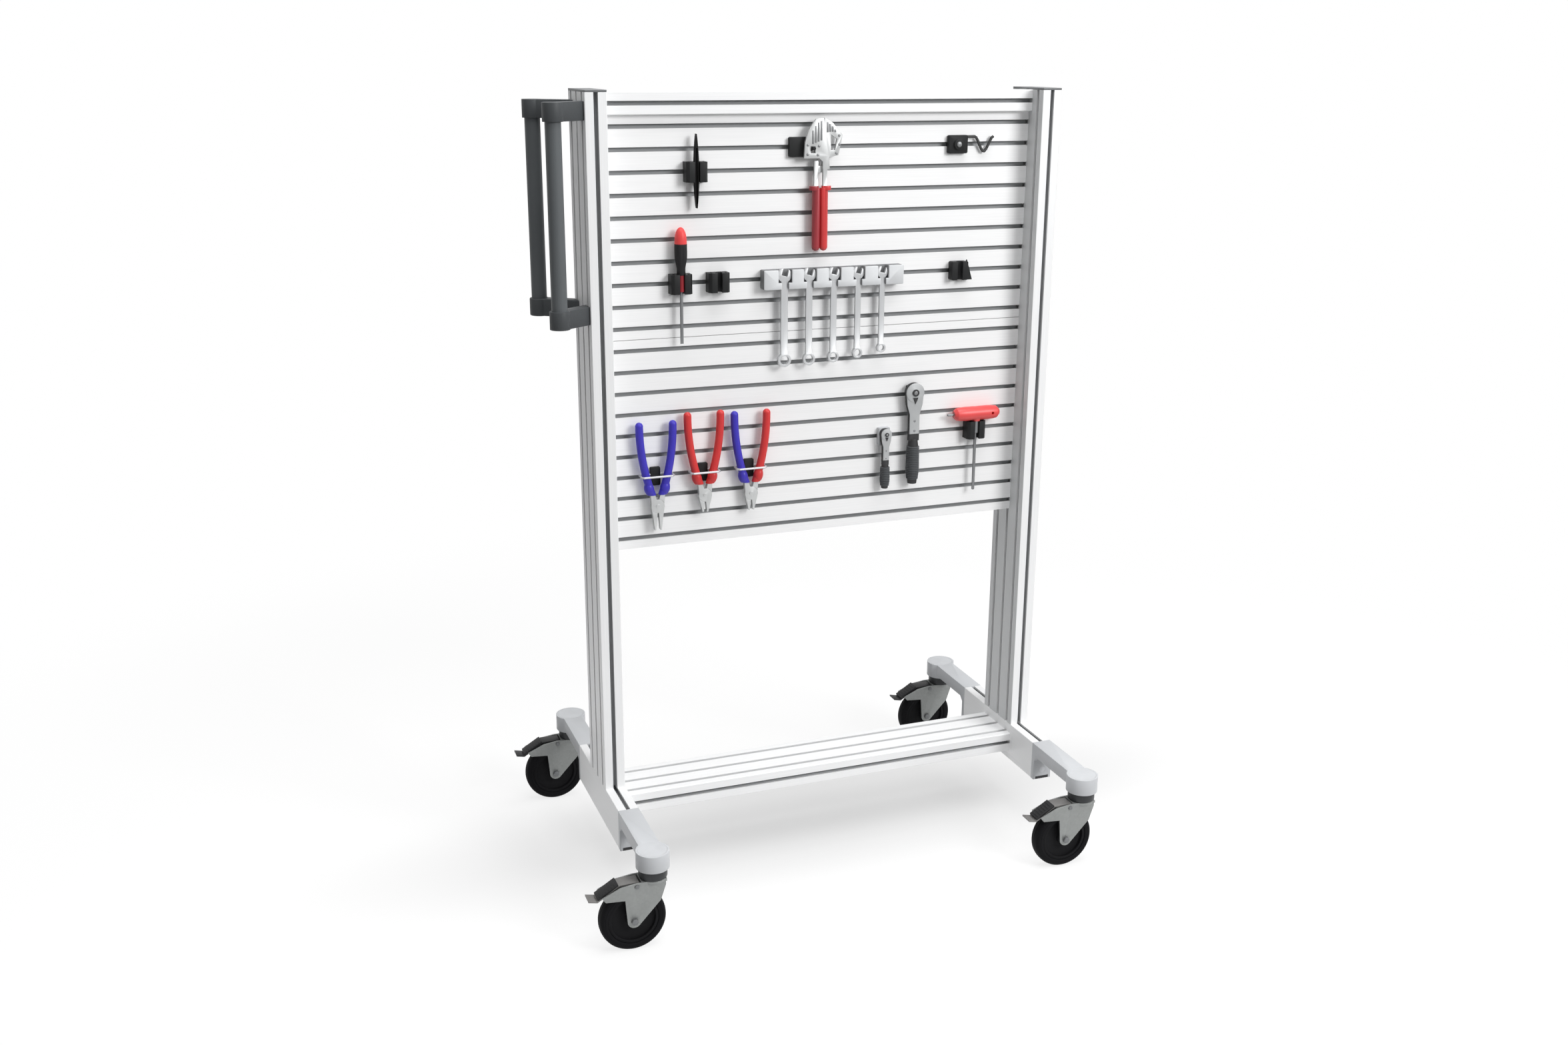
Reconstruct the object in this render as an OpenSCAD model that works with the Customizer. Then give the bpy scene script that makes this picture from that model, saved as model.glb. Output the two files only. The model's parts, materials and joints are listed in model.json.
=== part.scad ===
// Mobile tool panel: a wheeled frame of slotted aluminium profile with a slotted wall for hand tools.
// Millimetres. The origin is on the floor, midway between the posts and halfway through their depth.
// +X is to the right, +Y to the rear and +Z up.

/* [Frame] */
// Clear width between the two posts
inner_w = 850; // [810:10:1000]
// Height of the posts' upper ends above the floor
frame_h = 1500; // [1400:10:1700]
// Side of one square profile cell, which is also the distance between slots
cell = 40; // [38:0.5:42]
// Radius of the profiles' long edges
edge_r = 1.5; // [0.5:0.5:3]
// Length of a foot profile
foot_len = 310; // [260:10:360]
// Distance of the bottom beam's top below the top of the feet
beam_drop = 20; // [10:1:30]
// Thickness of the caps on the posts
cap_t = 4; // [2:0.5:6]

/* [Profile slots] */
// Width of a slot's mouth
mouth = 8; // [7:0.5:9]
// Thickness of the lips beside a slot's mouth
lip = 4.5; // [4:0.25:5]
// Width of the room behind the lips
room_w = 20; // [18:0.5:21]
// Depth of the room's straight sides, behind the lips
room_flat = 4; // [3.5:0.25:4.5]
// Depth of a slot from the face to its floor
slot_depth = 12.25; // [11.5:0.25:12.5]
// Diameter of the bore along the middle of each cell
core_d = 6.8; // [6:0.2:7]
// Thickness of the web between a slot's room and a hollow chamber
web = 3; // [2.5:0.25:4]

/* [Slotted panels] */
// Slots in one panel
panel_slots = 10; // [10:1:11]
// Thickness of a panel
panel_t = 16; // [15:0.5:20]
// Gap between the upper and the lower panel
seam = 1; // [0.5:0.5:3]
// Thickness of the lips beside a panel slot's mouth
panel_lip = 3; // [2.5:0.25:3.5]
// Width of the room behind the panel's lips
panel_room = 14; // [12:0.5:16]
// Depth of a panel slot from the face to its floor
panel_slot_depth = 9; // [8:0.25:9.5]
// Wall around the panel's hollow chambers
panel_wall = 2.5; // [2:0.25:3]
// Thickness of the angle brackets behind the panels
angle_t = 3; // [2:0.5:4]
// Height of an angle bracket
angle_h = 36; // [28:1:44]

/* [Handles] */
// Diameter of a handle tube
tube_d = 28; // [24:1:30]
// Wall of a handle tube
tube_wall = 2.5; // [1.5:0.5:4]
// Distance of a tube's axis from the post's outer face
handle_reach = 61; // [52:1:90]
// Sideways splay of a handle arm from its slot to the tube
handle_splay = 43; // [20:1:45]
// Distance between the middles of a handle's two clamps
handle_span = 353; // [250:1:450]
// Distance of the upper clamps' middle below the posts' upper ends
handle_drop = 31; // [22:1:80]
// Diameter of a clamp
clamp_d = 36; // [34:1:44]
// Height of a clamp
clamp_h = 32; // [24:1:40]
// Width of a handle arm
handle_arm_w = 24; // [16:1:28]

/* [Castor arms] */
// Distance of a castor's swivel axis from the frame's middle, front to rear
castor_reach = 320; // [310:5:380]
// Diameter of the round boss over a castor
boss_d = 62; // [60:1:70]
// Height of the boss
boss_h = 33; // [30:1:38]
// Depth of an arm
arm_depth = 27; // [24:1:30]
// Wall of the arm casting
cast_wall = 5; // [4:0.5:7]
// Diameter of the cap in the boss
boss_cap_d = 54; // [40:1:56]

/* [Castors] */
// Diameter of a wheel
wheel_d = 125; // [115:1:130]
// Width of a tyre
tyre_w = 29; // [26:1:31]
// Radius of a tyre's shoulders
shoulder_r = 7; // [3:0.5:10]
// Thickness of the rubber
rubber = 15; // [10:1:18]
// Distance of the axle behind the swivel axis
trail = 41; // [39:1:46]
// Height of the castor's top above the wheel
castor_rise = 32; // [31:1:42]
// Clear width between the fork's plates
fork_gap = 33; // [32:1:38]
// Thickness of the fork's plates
plate_t = 3; // [2:0.5:4]
// Thickness of the fork's crown
crown_t = 5; // [4.5:0.25:6]
// Diameter of the black head ring
head_d = 53; // [52:1:56]
// Height of the head ring with its running gap
head_h = 19; // [15:0.5:20]
// Diameter of the stem and kingpin
stem_d = 12; // [10:0.5:14]
// Diameter of the axle bolt
axle_d = 8; // [6:0.5:10]
// Balls in a swivel bearing
balls = 12; // [8:1:14]
// Width of the brake pedal
pedal_w = 27; // [24:1:30]

/* [Holders and tools] */
// Width of a holder block or clip
clip_w = 40; // [36:1:44]
// Height of a holder block or clip
clip_h = 36; // [30:1:38]
// Depth of a clip in front of the panel
clip_d = 25; // [23:1:28]
// Bore of a spring clip
clip_bore = 13.6; // [12:0.2:15]
// Front gap of a spring clip
clip_gap = 9.6; // [9.2:0.2:10.6]
// Distance of the tools' middle plane in front of the panel
tool_stand = 16; // [15:0.5:17]
// Diameter of the holder wires
wire_d = 4; // [3:0.5:5]
// Distance between neighbouring spanners
spanner_pitch = 50; // [44:1:52]
// Length of the longest spanner
spanner_len = 187; // [150:1:200]
// Radius of a plier grip
grip_r = 7.5; // [6:0.25:8]

/* [Hidden] */
$fn = 64;
// Radial running clearance of pins, and the seat clearance of fixed fits
fit = 0.05;
seat = 0.15;
// Clear gap between pieces that pass each other
pass = 0.3;
// Overshoot of a cut past the face that it opens
over = 1;
post_x = inner_w / 2 + cell / 2;
outer_x = inner_w / 2 + cell;
castor_h = wheel_d + castor_rise;
foot_top = castor_h + boss_h;
foot_h = 2 * cell;
beam_z = foot_top - beam_drop - cell / 2;
floor_w = mouth;
panel_h = panel_slots * cell;
panel_top = frame_h - cell;
panel_front = -panel_t / 2;
tool_y = panel_front - tool_stand;
arm_len = castor_reach - foot_len / 2;
axle_z = wheel_d / 2;
crown_top = castor_h - head_h;
crown_low = crown_top - crown_t;
fork_w = fork_gap + 2 * plate_t;
hub_r = wheel_d / 2 - rubber;

// Sizes of small hardware
bolt_d = 6;
button_d = 12;
button_h = 3.5;
nut_w = 13;
nut_h = 5.5;
hex_head = 5;
head_plate = room_flat - 0.5;
ball_r = 3;
ball_track = 18;
pin_d = 5;
screw_head_d = 12;
arm_screw_len = 30;
nut_recess_d = 26;
nut_recess = 14;
boss_cap_t = 2;
screw_cap_d = screw_head_d + 2;
screw_cap_t = 1;
plug_size = [30, 6, 6];
stem_nut_h = 9;
flange_d = 22;
flange_h = 4;
angle_leg = 40;
panel_screw_d = 5;
panel_screw_in = 5;
angle_rows = [3, 8, 13, 18];

// Height of the middle of slot k, counted down from the top of the upper panel
function slot_z(k) = panel_top - cell * (k - 0.5) - (k > panel_slots ? seam : 0);

// Rows and places of the holders: distance from the frame's middle, and slot
left_edge = -inner_w / 2;
right_edge = inner_w / 2;
tweezers_at = [left_edge + 170, 3];
crimper_at = [-8, 2];
hook_at = [right_edge - 154, 2];
driver_at = [left_edge + 139, 8];
spare_clip_at = [left_edge + 211, 8];
rack_at = [15, 8];
tab_at = [right_edge - 144, 8];
pliers_at = [for (x = [86, 180, 273]) [left_edge + x, 17]];
small_ratchet_at = [right_edge - 294, 16];
large_ratchet_at = [right_edge - 234, 14];
t_driver_at = [right_edge - 96, 16];

// Slotted profile

module rounded(w, h, r) {
    square([w - 2 * r, h], center = true);
    square([w, h - 2 * r], center = true);
    for (x = [-1, 1], y = [-1, 1])
        translate([x * (w / 2 - r), y * (h / 2 - r)]) circle(r);
}

// One slot whose mouth opens towards +Y at y = 0
module slot_cut() {
    polygon([[-mouth / 2, over], [mouth / 2, over], [mouth / 2, -lip], [room_w / 2, -lip],
        [room_w / 2, -lip - room_flat], [floor_w / 2, -slot_depth], [-floor_w / 2, -slot_depth],
        [-room_w / 2, -lip - room_flat], [-room_w / 2, -lip], [-mouth / 2, -lip]]);
}

// Section of nx by ny cells, with slots along the sides that are open
module profile(nx, ny, side_slots = true, end_slots = true) {
    chamber = cell - room_w - 2 * web;
    difference() {
        rounded(nx * cell, ny * cell, edge_r);
        if (end_slots) for (i = [0 : nx - 1], s = [0, 180])
            translate([(i - (nx - 1) / 2) * cell, (s == 0 ? 1 : -1) * ny * cell / 2]) rotate(s) slot_cut();
        if (side_slots) for (j = [0 : ny - 1], s = [-90, 90])
            translate([(s < 0 ? 1 : -1) * nx * cell / 2, (j - (ny - 1) / 2) * cell]) rotate(s) slot_cut();
        for (i = [0 : nx - 1], j = [0 : ny - 1])
            translate([(i - (nx - 1) / 2) * cell, (j - (ny - 1) / 2) * cell]) circle(d = core_d);
        if (nx > 1) for (i = [1 : nx - 1])
            translate([(i - nx / 2) * cell, 0]) square([chamber, cell - 2 * lip], center = true);
        if (ny > 1) for (j = [1 : ny - 1])
            translate([0, (j - ny / 2) * cell]) square([cell - 2 * lip, chamber], center = true);
    }
}

// Extrusions that run along X or along Y from the middle of the frame
module along_x(len) { translate([-len / 2, 0, 0]) rotate([90, 0, 90]) linear_extrude(len) children(); }
module along_y(len) { translate([0, len / 2, 0]) rotate([90, 0, 0]) linear_extrude(len) children(); }

module post(side) {
    color("gainsboro") translate([side * post_x, 0, foot_top])
        linear_extrude(frame_h - foot_top) profile(1, 3);
}

module left_post() { post(-1); }
module right_post() { post(1); }

module top_beam() {
    color("gainsboro") translate([0, 0, frame_h - cell / 2]) along_x(inner_w) profile(1, 1);
}

module bottom_beam() {
    color("gainsboro") translate([0, 0, beam_z]) along_x(inner_w) profile(3, 1);
}

// A foot is closed along its sides. Inside, room is milled for the heads of the bottom beam's screws.
module foot(side) {
    color("gainsboro") translate([side * post_x, 0, 0]) difference() {
        translate([0, 0, foot_top - foot_h / 2]) along_y(foot_len) profile(1, 2, side_slots = false);
        for (y = [-cell, cell]) translate([0, y, beam_z]) rotate([0, -side * 90, 0]) {
            cylinder(d = core_d, h = cell);
            translate([0, 0, lip - cell / 2]) cylinder(d = screw_head_d + 2, h = cell - 2 * lip);
        }
    }
}

module left_foot() { foot(-1); }
module right_foot() { foot(1); }

// Caps that close the posts, each with three pegs in the core bores
module post_caps() {
    color("dimgray") for (side = [-1, 1]) translate([side * post_x, 0, frame_h]) {
        linear_extrude(cap_t) rounded(cell, 3 * cell, edge_r);
        for (y = [-cell, 0, cell]) translate([0, y, -10]) cylinder(d = core_d - 2 * seat, h = 10 + over);
    }
}

// Slotted panels

module panel_section() {
    chamber = cell - panel_room - 2 * panel_wall;
    end_chamber = (cell - panel_room) / 2 - 2 * panel_wall;
    depth = panel_t - 2 * panel_wall;
    difference() {
        square([panel_t, panel_h], center = true);
        for (k = [0 : panel_slots - 1]) translate([panel_front, panel_h / 2 - (k + 0.5) * cell]) {
            translate([-over, -mouth / 2]) square([panel_lip + 2 * over, mouth]);
            translate([panel_lip, -panel_room / 2]) square([panel_slot_depth - panel_lip, panel_room]);
        }
        for (k = [1 : panel_slots - 1]) translate([0, panel_h / 2 - k * cell])
            square([depth, chamber], center = true);
        for (s = [-1, 1]) translate([0, s * (panel_h / 2 - panel_wall - end_chamber / 2)])
            square([depth, end_chamber], center = true);
    }
}

// One panel, with blind holes in its back for the angle brackets' screws
module panel(top, rows) {
    color("whitesmoke") difference() {
        translate([0, 0, top - panel_h / 2]) along_x(inner_w) panel_section();
        for (k = rows, s = [-1, 1])
            translate([s * (inner_w / 2 - angle_leg * 0.6), panel_t / 2, slot_z(k)])
                rotate([90, 0, 0]) translate([0, 0, -over])
                    cylinder(d = panel_screw_d, h = panel_screw_in + over);
    }
}

module upper_panel() { panel(panel_top, [angle_rows[0], angle_rows[1]]); }
module lower_panel() { panel(panel_top - panel_h - seam, [angle_rows[2], angle_rows[3]]); }

// Places of the angle brackets, drawn for the right side and mirrored for the left
module angle_places() {
    for (k = angle_rows, s = [0, 1])
        mirror([s, 0, 0]) translate([inner_w / 2, panel_t / 2, slot_z(k)]) children();
}
angle_post_y = cell - panel_t / 2;
angle_deep = angle_post_y + mouth * 2;

module panel_brackets() {
    color("silver") angle_places() difference() {
        union() {
            translate([-angle_leg, 0, -angle_h / 2]) cube([angle_leg, angle_t, angle_h]);
            translate([-angle_t, 0, -angle_h / 2]) cube([angle_t, angle_deep, angle_h]);
        }
        translate([-angle_leg * 0.6, -over, 0]) rotate([-90, 0, 0])
            cylinder(d = panel_screw_d + 2 * seat, h = angle_t + 2 * over);
        translate([-angle_t - over, angle_post_y, 0]) rotate([0, 90, 0])
            cylinder(d = bolt_d + 2 * seat, h = angle_t + 2 * over);
    }
}

// Button-head screw whose seat is at z = 0 and whose shank runs towards +Z
module button_screw(d, len) {
    cylinder(d = d, h = len);
    translate([0, 0, -button_h]) difference() {
        cylinder(d1 = button_d * 0.7, d2 = button_d, h = button_h);
        translate([0, 0, -over]) cylinder(d = d * 0.6, h = over + button_h * 0.6, $fn = 6);
    }
}

// T-nut in the room of a slot whose mouth faces -Z, with its face against the lips at z = lip
module slot_nut() {
    translate([0, 0, lip]) difference() {
        translate([-room_w / 2 + 1, -bolt_d, seat]) cube([room_w - 2, 2 * bolt_d, head_plate]);
        cylinder(d = bolt_d + 2 * fit, h = lip + head_plate + over);
    }
}

// T-bolt of a handle bracket: plate in the slot's room, shank out through the mouth
module slot_bolt(len) {
    translate([0, 0, -lip]) {
        translate([-room_w / 2 + 1, -mouth, -seat - head_plate]) cube([room_w - 2, 2 * mouth, head_plate]);
        translate([0, 0, -seat - over]) cylinder(d = mouth - 2 * seat, h = lip + len + seat + over);
    }
}

// Handles

upper_clamp_z = frame_h - handle_drop;
lower_clamp_z = upper_clamp_z - handle_span;
handle_angle = atan2(handle_splay, handle_reach);
clamp_floor = 4;
handle_bolt_len = 14;

// Places of the tubes' axes, with the splay turned to the front or to the rear
module handle_places() {
    for (s = [0, 1]) mirror([0, s, 0]) translate([-outer_x, -cell, 0]) children();
}

module handle_tubes() {
    low = lower_clamp_z - clamp_h / 2 + clamp_floor;
    high = upper_clamp_z + clamp_h / 2 - clamp_floor;
    color("darkslategray") handle_places() translate([-handle_reach, -handle_splay, low]) difference() {
        cylinder(d = tube_d, h = high - low);
        translate([0, 0, -over]) cylinder(d = tube_d - 2 * tube_wall, h = high - low + 2 * over);
    }
}

// One bracket: a clamp with a blind bore for the tube, and an arm cut flat where it meets the post
module handle_bracket(up) {
    arm = norm([handle_reach, handle_splay]);
    difference() {
        union() {
            translate([-handle_reach, -handle_splay, -clamp_h / 2]) cylinder(d = clamp_d, h = clamp_h);
            rotate([0, 0, 180 + handle_angle]) translate([-cell / 2, -handle_arm_w / 2, -clamp_h / 2])
                cube([arm + cell / 2, handle_arm_w, clamp_h]);
        }
        translate([0, -2 * cell, -clamp_h]) cube([2 * cell, 4 * cell, 2 * clamp_h]);
        translate([-handle_reach, -handle_splay, up * (clamp_h / 2 - clamp_floor) - (up > 0 ? clamp_h : 0)])
            cylinder(d = tube_d + 2 * fit, h = clamp_h);
        rotate([0, -90, 0]) translate([0, 0, -over]) cylinder(d = mouth, h = handle_bolt_len + 2 * over);
    }
}

module handle_brackets() {
    color("darkslategray") handle_places() {
        translate([0, 0, upper_clamp_z]) handle_bracket(1);
        translate([0, 0, lower_clamp_z]) handle_bracket(-1);
    }
}

// T-nuts and screws of the angle brackets, and T-bolts of the handle brackets
module slot_fasteners() {
    shank = angle_t + lip + seat + head_plate;
    color("darkgray") {
        angle_places() {
            translate([-angle_t, angle_post_y, 0]) rotate([0, 90, 0]) button_screw(bolt_d, shank);
            translate([0, angle_post_y, 0]) rotate([0, 90, 0]) rotate([0, 0, 90]) slot_nut();
            translate([-angle_leg * 0.6, angle_t, 0]) rotate([90, 0, 0])
                button_screw(panel_screw_d - 2 * fit, angle_t + panel_screw_in - over);
        }
        handle_places() for (z = [upper_clamp_z, lower_clamp_z])
            translate([0, 0, z]) rotate([0, -90, 0]) rotate([0, 0, 90]) slot_bolt(handle_bolt_len);
    }
}

// Screw in a core bore, with a round head in the neighbour's slot or hollow. The head ends at z = 0.
module core_screw(out) {
    cylinder(d = core_d - 2 * seat, h = out + arm_screw_len);
    translate([0, 0, -head_plate]) cylinder(d = screw_head_d, h = head_plate + over / 2);
}

module frame_screws() {
    color("darkgray") {
        for (s = [0, 1]) mirror([s, 0, 0]) {
            translate([inner_w / 2 + lip + seat + over / 2, 0, frame_h - cell / 2])
                rotate([0, -90, 0]) core_screw(lip + over);
            for (y = [-cell, cell]) {
                translate([post_x, y, foot_top - lip - seat - over / 2]) core_screw(lip + over);
                translate([inner_w / 2 + lip + seat + over / 2, y, beam_z]) rotate([0, -90, 0])
                    core_screw(lip + over);
            }
            for (t = [0, 1], z = [0.5, 1.5]) mirror([0, t, 0])
                translate([post_x, foot_len / 2 + cast_wall + seat + over / 2, foot_top - z * cell])
                    rotate([90, 0, 0]) core_screw(cast_wall + over);
        }
    }
}

// Castor arms

module arm_places() {
    for (x = [-1, 1], s = [0, 1])
        translate([x * post_x, 0, 0]) mirror([0, s, 0]) translate([0, -foot_len / 2, 0])
            mirror([0, 1, 0]) children();
}

// Plate that covers the foot's end, with room for the screws' heads and caps, and the gusset above it
end_plate = cast_wall + seat + over / 2 + head_plate + pass + screw_cap_t;
gusset = 2 * cast_wall;

// Side outline of an arm: y runs out from the foot's end
module arm_outline() {
    under = foot_top - arm_depth;
    polygon([[0, foot_top], [arm_len, foot_top], [arm_len, under], [end_plate + gusset, under],
        [end_plate, under - gusset], [end_plate, foot_top - foot_h], [0, foot_top - foot_h]]);
}

// The hollow that a casting has on its underside
module arm_hollow() {
    near = end_plate + gusset;
    far = arm_len - boss_d / 2 - cast_wall;
    low = foot_top - arm_depth - over;
    high = foot_top - 1.6 * cast_wall;
    translate([near, low]) square([far - near, high - low]);
}

// Black plug at the end plate's lower edge, and the notch that holds it
module plug() {
    translate([seat - plug_size[0] / 2, end_plate - plug_size[1] + seat, foot_top - foot_h])
        cube(plug_size - [2 * seat, seat, seat]);
}
module plug_notch() {
    translate([-plug_size[0] / 2, end_plate - plug_size[1], foot_top - foot_h - over])
        cube(plug_size + [0, over, over]);
}

module castor_arms() {
    color("lightgray") arm_places() difference() {
        union() {
            along_x(cell) arm_outline();
            translate([0, arm_len, castor_h]) cylinder(d = boss_d, h = boss_h);
        }
        along_x(cell - 2 * cast_wall) arm_hollow();
        for (z = [0.5, 1.5]) translate([0, -over, foot_top - z * cell]) rotate([-90, 0, 0]) {
            cylinder(d = core_d, h = cast_wall + 2 * over);
            translate([0, 0, over + cast_wall]) cylinder(d = screw_cap_d, h = end_plate + gusset);
        }
        plug_notch();
        translate([0, arm_len, 0]) {
            cylinder(d = stem_d + 2 * seat, h = foot_top);
            translate([0, 0, foot_top - boss_cap_t]) cylinder(d = boss_cap_d, h = boss_cap_t + over);
            translate([0, 0, foot_top - nut_recess]) cylinder(d = nut_recess_d, h = nut_recess + over);
        }
    }
}

// Round caps in the bosses and over the lower screws, and the plugs
module arm_caps() {
    color("lightgray") arm_places() {
        translate([0, arm_len, foot_top - boss_cap_t]) cylinder(d = boss_cap_d - 2 * seat, h = boss_cap_t);
        translate([0, end_plate - screw_cap_t, foot_top - 1.5 * cell]) rotate([-90, 0, 0])
            cylinder(d = screw_cap_d - 2 * seat, h = screw_cap_t);
        plug();
    }
}

// Castors. Each piece is drawn about its own swivel axis, with the wheel trailing towards -X.

CORNERS = [[-1, -1], [1, -1], [-1, 1], [1, 1]];
module corner(i) {
    translate([CORNERS[i][0] * post_x, CORNERS[i][1] * castor_reach, 0]) children();
}
module every_corner() { for (i = [0 : 3]) corner(i) children(); }
module at_axle() { translate([-trail, 0, axle_z]) rotate([90, 0, 0]) children(); }

module ball_groove() {
    translate([0, 0, crown_top + pass / 2]) rotate_extrude() translate([ball_track, 0]) circle(ball_r + fit);
}

// Threaded stem, kingpin, nut and the ring of balls
module castor_stems() {
    low = crown_low - pass - flange_h;
    color("silver") every_corner() {
        translate([0, 0, low]) cylinder(d = stem_d, h = foot_top - boss_cap_t - pass - low);
        translate([0, 0, low]) cylinder(d = flange_d, h = flange_h);
        translate([0, 0, foot_top - nut_recess]) difference() {
            cylinder(d = nut_recess_d - 4, h = stem_nut_h, $fn = 6);
            translate([0, 0, -over]) cylinder(d = stem_d + 2 * fit, h = stem_nut_h + 2 * over);
        }
        for (a = [0 : balls - 1]) rotate([0, 0, a * 360 / balls])
            translate([ball_track, 0, crown_top + pass / 2]) sphere(ball_r);
    }
}

// Head ring, which the stem holds up against the boss
module castor_heads() {
    low = crown_top + pass;
    color("black") every_corner() difference() {
        union() {
            translate([0, 0, low + 2]) cylinder(d = head_d, h = castor_h - low - 2);
            translate([0, 0, low]) cylinder(d1 = head_d - 4, d2 = head_d, h = 2);
        }
        translate([0, 0, low - over]) cylinder(d = stem_d + 2 * seat, h = castor_h);
        ball_groove();
    }
}

// Fork plate seen from the side, as distances from the axle. Its spur lies beside the pedal.
nose = crown_top - axle_z;
pedal_top = nose - 0.5;
pivot = [6, pedal_top - 6];
module plate_outline() {
    tip_r = axle_d / 2 + 9;
    circle(tip_r);
    polygon([[trail + 19, nose], [trail + 19, nose - 11], [trail + 9, nose - 41], [tip_r * 0.8, -tip_r * 0.6],
        [-tip_r, 0], [-tip_r - 3.5, nose - 31], [-52, nose - 28], [-59, nose - 19], [-25, nose - 4],
        [pivot[0], nose]]);
}

module fork() {
    crown_d = 50;
    crown_back = -26;
    crown_front = 21;
    color("gray") difference() {
        union() {
            translate([0, 0, crown_low]) linear_extrude(crown_t) {
                circle(d = crown_d);
                translate([crown_back, -fork_w / 2]) square([crown_front - crown_back, fork_w]);
            }
            for (y = [-fork_w / 2 + plate_t, fork_w / 2]) translate([-trail, y, axle_z])
                rotate([90, 0, 0]) linear_extrude(plate_t) plate_outline();
        }
        translate([0, 0, crown_low - over]) cylinder(d = stem_d + 2 * fit, h = crown_t + 2 * over);
        ball_groove();
        at_axle() {
            translate([0, 0, -fork_w]) cylinder(d = axle_d + 2 * seat, h = 2 * fork_w);
            translate([pivot[0], pivot[1], -fork_w]) cylinder(d = pin_d + 2 * seat, h = 2 * fork_w);
        }
    }
}

// Axle bolt with its nut, and the pin that the pedal turns on
module axle() {
    color("silver") at_axle() {
        translate([0, 0, -fork_w / 2 - nut_h - 2]) cylinder(d = axle_d, h = fork_w + nut_h + 2);
        translate([0, 0, fork_w / 2]) cylinder(d = nut_w, h = hex_head, $fn = 6);
        translate([0, 0, -fork_w / 2 - nut_h]) difference() {
            cylinder(d = nut_w, h = nut_h, $fn = 6);
            translate([0, 0, -over]) cylinder(d = axle_d + 2 * fit, h = nut_h + 2 * over);
        }
        translate([pivot[0], pivot[1], -fork_w / 2 - 1]) {
            cylinder(d = pin_d, h = fork_w + 2);
            translate([0, 0, -1]) cylinder(d = pin_d + 3, h = 2);
            translate([0, 0, fork_w + 1]) cylinder(d = pin_d + 3, h = 2);
        }
    }
}

// Wheel centre turned in one piece, and the bearing sleeve pressed into it
module hub() {
    boss_w = fork_gap - 2;
    rim_w = tyre_w - 4;
    web_w = 12;
    boss_r = axle_d / 2 + 10;
    sleeve_r = axle_d / 2 + 3;
    color("dimgray") at_axle() {
        rotate_extrude() difference() {
            union() {
                translate([0, -boss_w / 2]) square([boss_r, boss_w]);
                translate([0, -web_w / 2]) square([hub_r - over, web_w]);
                translate([hub_r - 6, -rim_w / 2]) square([6, rim_w]);
            }
            translate([-over, -boss_w]) square([sleeve_r + seat + over, 2 * boss_w]);
        }
        translate([0, 0, -boss_w / 2]) difference() {
            cylinder(r = sleeve_r, h = boss_w);
            translate([0, 0, -over]) cylinder(d = axle_d + 2 * fit, h = boss_w + 2 * over);
        }
    }
}

module tyre() {
    low = hub_r + fit;
    high = wheel_d / 2;
    color("#202020") at_axle() rotate_extrude() {
        translate([low, -tyre_w / 2]) square([high - shoulder_r - low, tyre_w]);
        translate([low, -tyre_w / 2 + shoulder_r]) square([high - low, tyre_w - 2 * shoulder_r]);
        for (s = [-1, 1]) translate([high - shoulder_r, s * (tyre_w / 2 - shoulder_r)]) circle(shoulder_r);
    }
}

// Brake pedal. Its upper line runs flat beside the head ring, slopes down and ends in a raised lip.
module pedal() {
    top = pedal_top;
    sheet = 3;
    shoe_low = wheel_d / 2 + 3.5;
    inner = trail - head_d / 2 - 3;
    line = [[inner, top], [-25, top], [-66, top - 25], [-82.5, top - 21.5]];
    ear_r = pin_d / 2 + 2.5;
    ear_t = 2.5;
    shoe = [[-28, shoe_low], [-16, shoe_low], [-16, top - over], [-28, top - over - 2]];
    color("#262626") at_axle() {
        translate([0, 0, -pedal_w / 2]) linear_extrude(pedal_w)
            polygon(concat(line, [for (i = [3 : -1 : 0]) line[i] - [0, sheet]]));
        translate([0, 0, -pedal_w / 3]) linear_extrude(pedal_w * 2 / 3) polygon(shoe);
        for (z = [-pedal_w / 2, pedal_w / 2 - ear_t])
            translate([0, 0, z]) linear_extrude(ear_t) difference() {
                union() {
                    translate(pivot) circle(ear_r);
                    polygon([pivot + [ear_r, 0], [inner, top - over], [-22, top - over], [-20, top - 9],
                        pivot + [-ear_r * 0.6, -ear_r * 0.8]]);
                }
                translate(pivot) circle(d = pin_d + 2 * fit);
            }
    }
}

// Holders

module at_slot(place, y = panel_front) { translate([place[0], y, slot_z(place[1])]) children(); }

// Foot of a holder: a neck through the slot's mouth and a bar behind the lips
module slot_tongue(w) {
    neck = mouth - 2 * seat;
    bar = panel_room - 2 * pass;
    translate([-w / 2, -over, -neck / 2]) cube([w, over + panel_slot_depth - pass, neck]);
    translate([-w / 2, panel_lip + seat, -bar / 2])
        cube([w, panel_slot_depth - panel_lip - seat - pass, bar]);
}

// Outline of a clip seen from above, with its back on the panel
module clip_outline() {
    chamfer = 5;
    bore_y = tool_stand;
    difference() {
        polygon([[-clip_w / 2, 0], [clip_w / 2, 0], [clip_w / 2, chamfer - clip_d],
            [clip_w / 2 - chamfer, -clip_d], [chamfer - clip_w / 2, -clip_d],
            [-clip_w / 2, chamfer - clip_d]]);
        translate([0, -bore_y]) circle(d = clip_bore);
        translate([-clip_gap / 2, -clip_d - over]) square([clip_gap, clip_d - bore_y + over]);
        for (s = [-1, 1]) translate([s * clip_w * 0.34, -bore_y]) square([2.5, clip_d / 2], center = true);
    }
}

module spring_clips() {
    color("#2b2b2b") for (place = [tweezers_at, driver_at, spare_clip_at, t_driver_at]) at_slot(place) {
        translate([0, 0, -clip_h / 2]) linear_extrude(clip_h) clip_outline();
        slot_tongue(clip_w - 8);
    }
}

// Plain block with rounded corners and a foot in the slot
module block(w, h, d) {
    rotate([90, 0, 0]) linear_extrude(d) rounded(w, h, 3);
    slot_tongue(w - 6);
}

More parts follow.
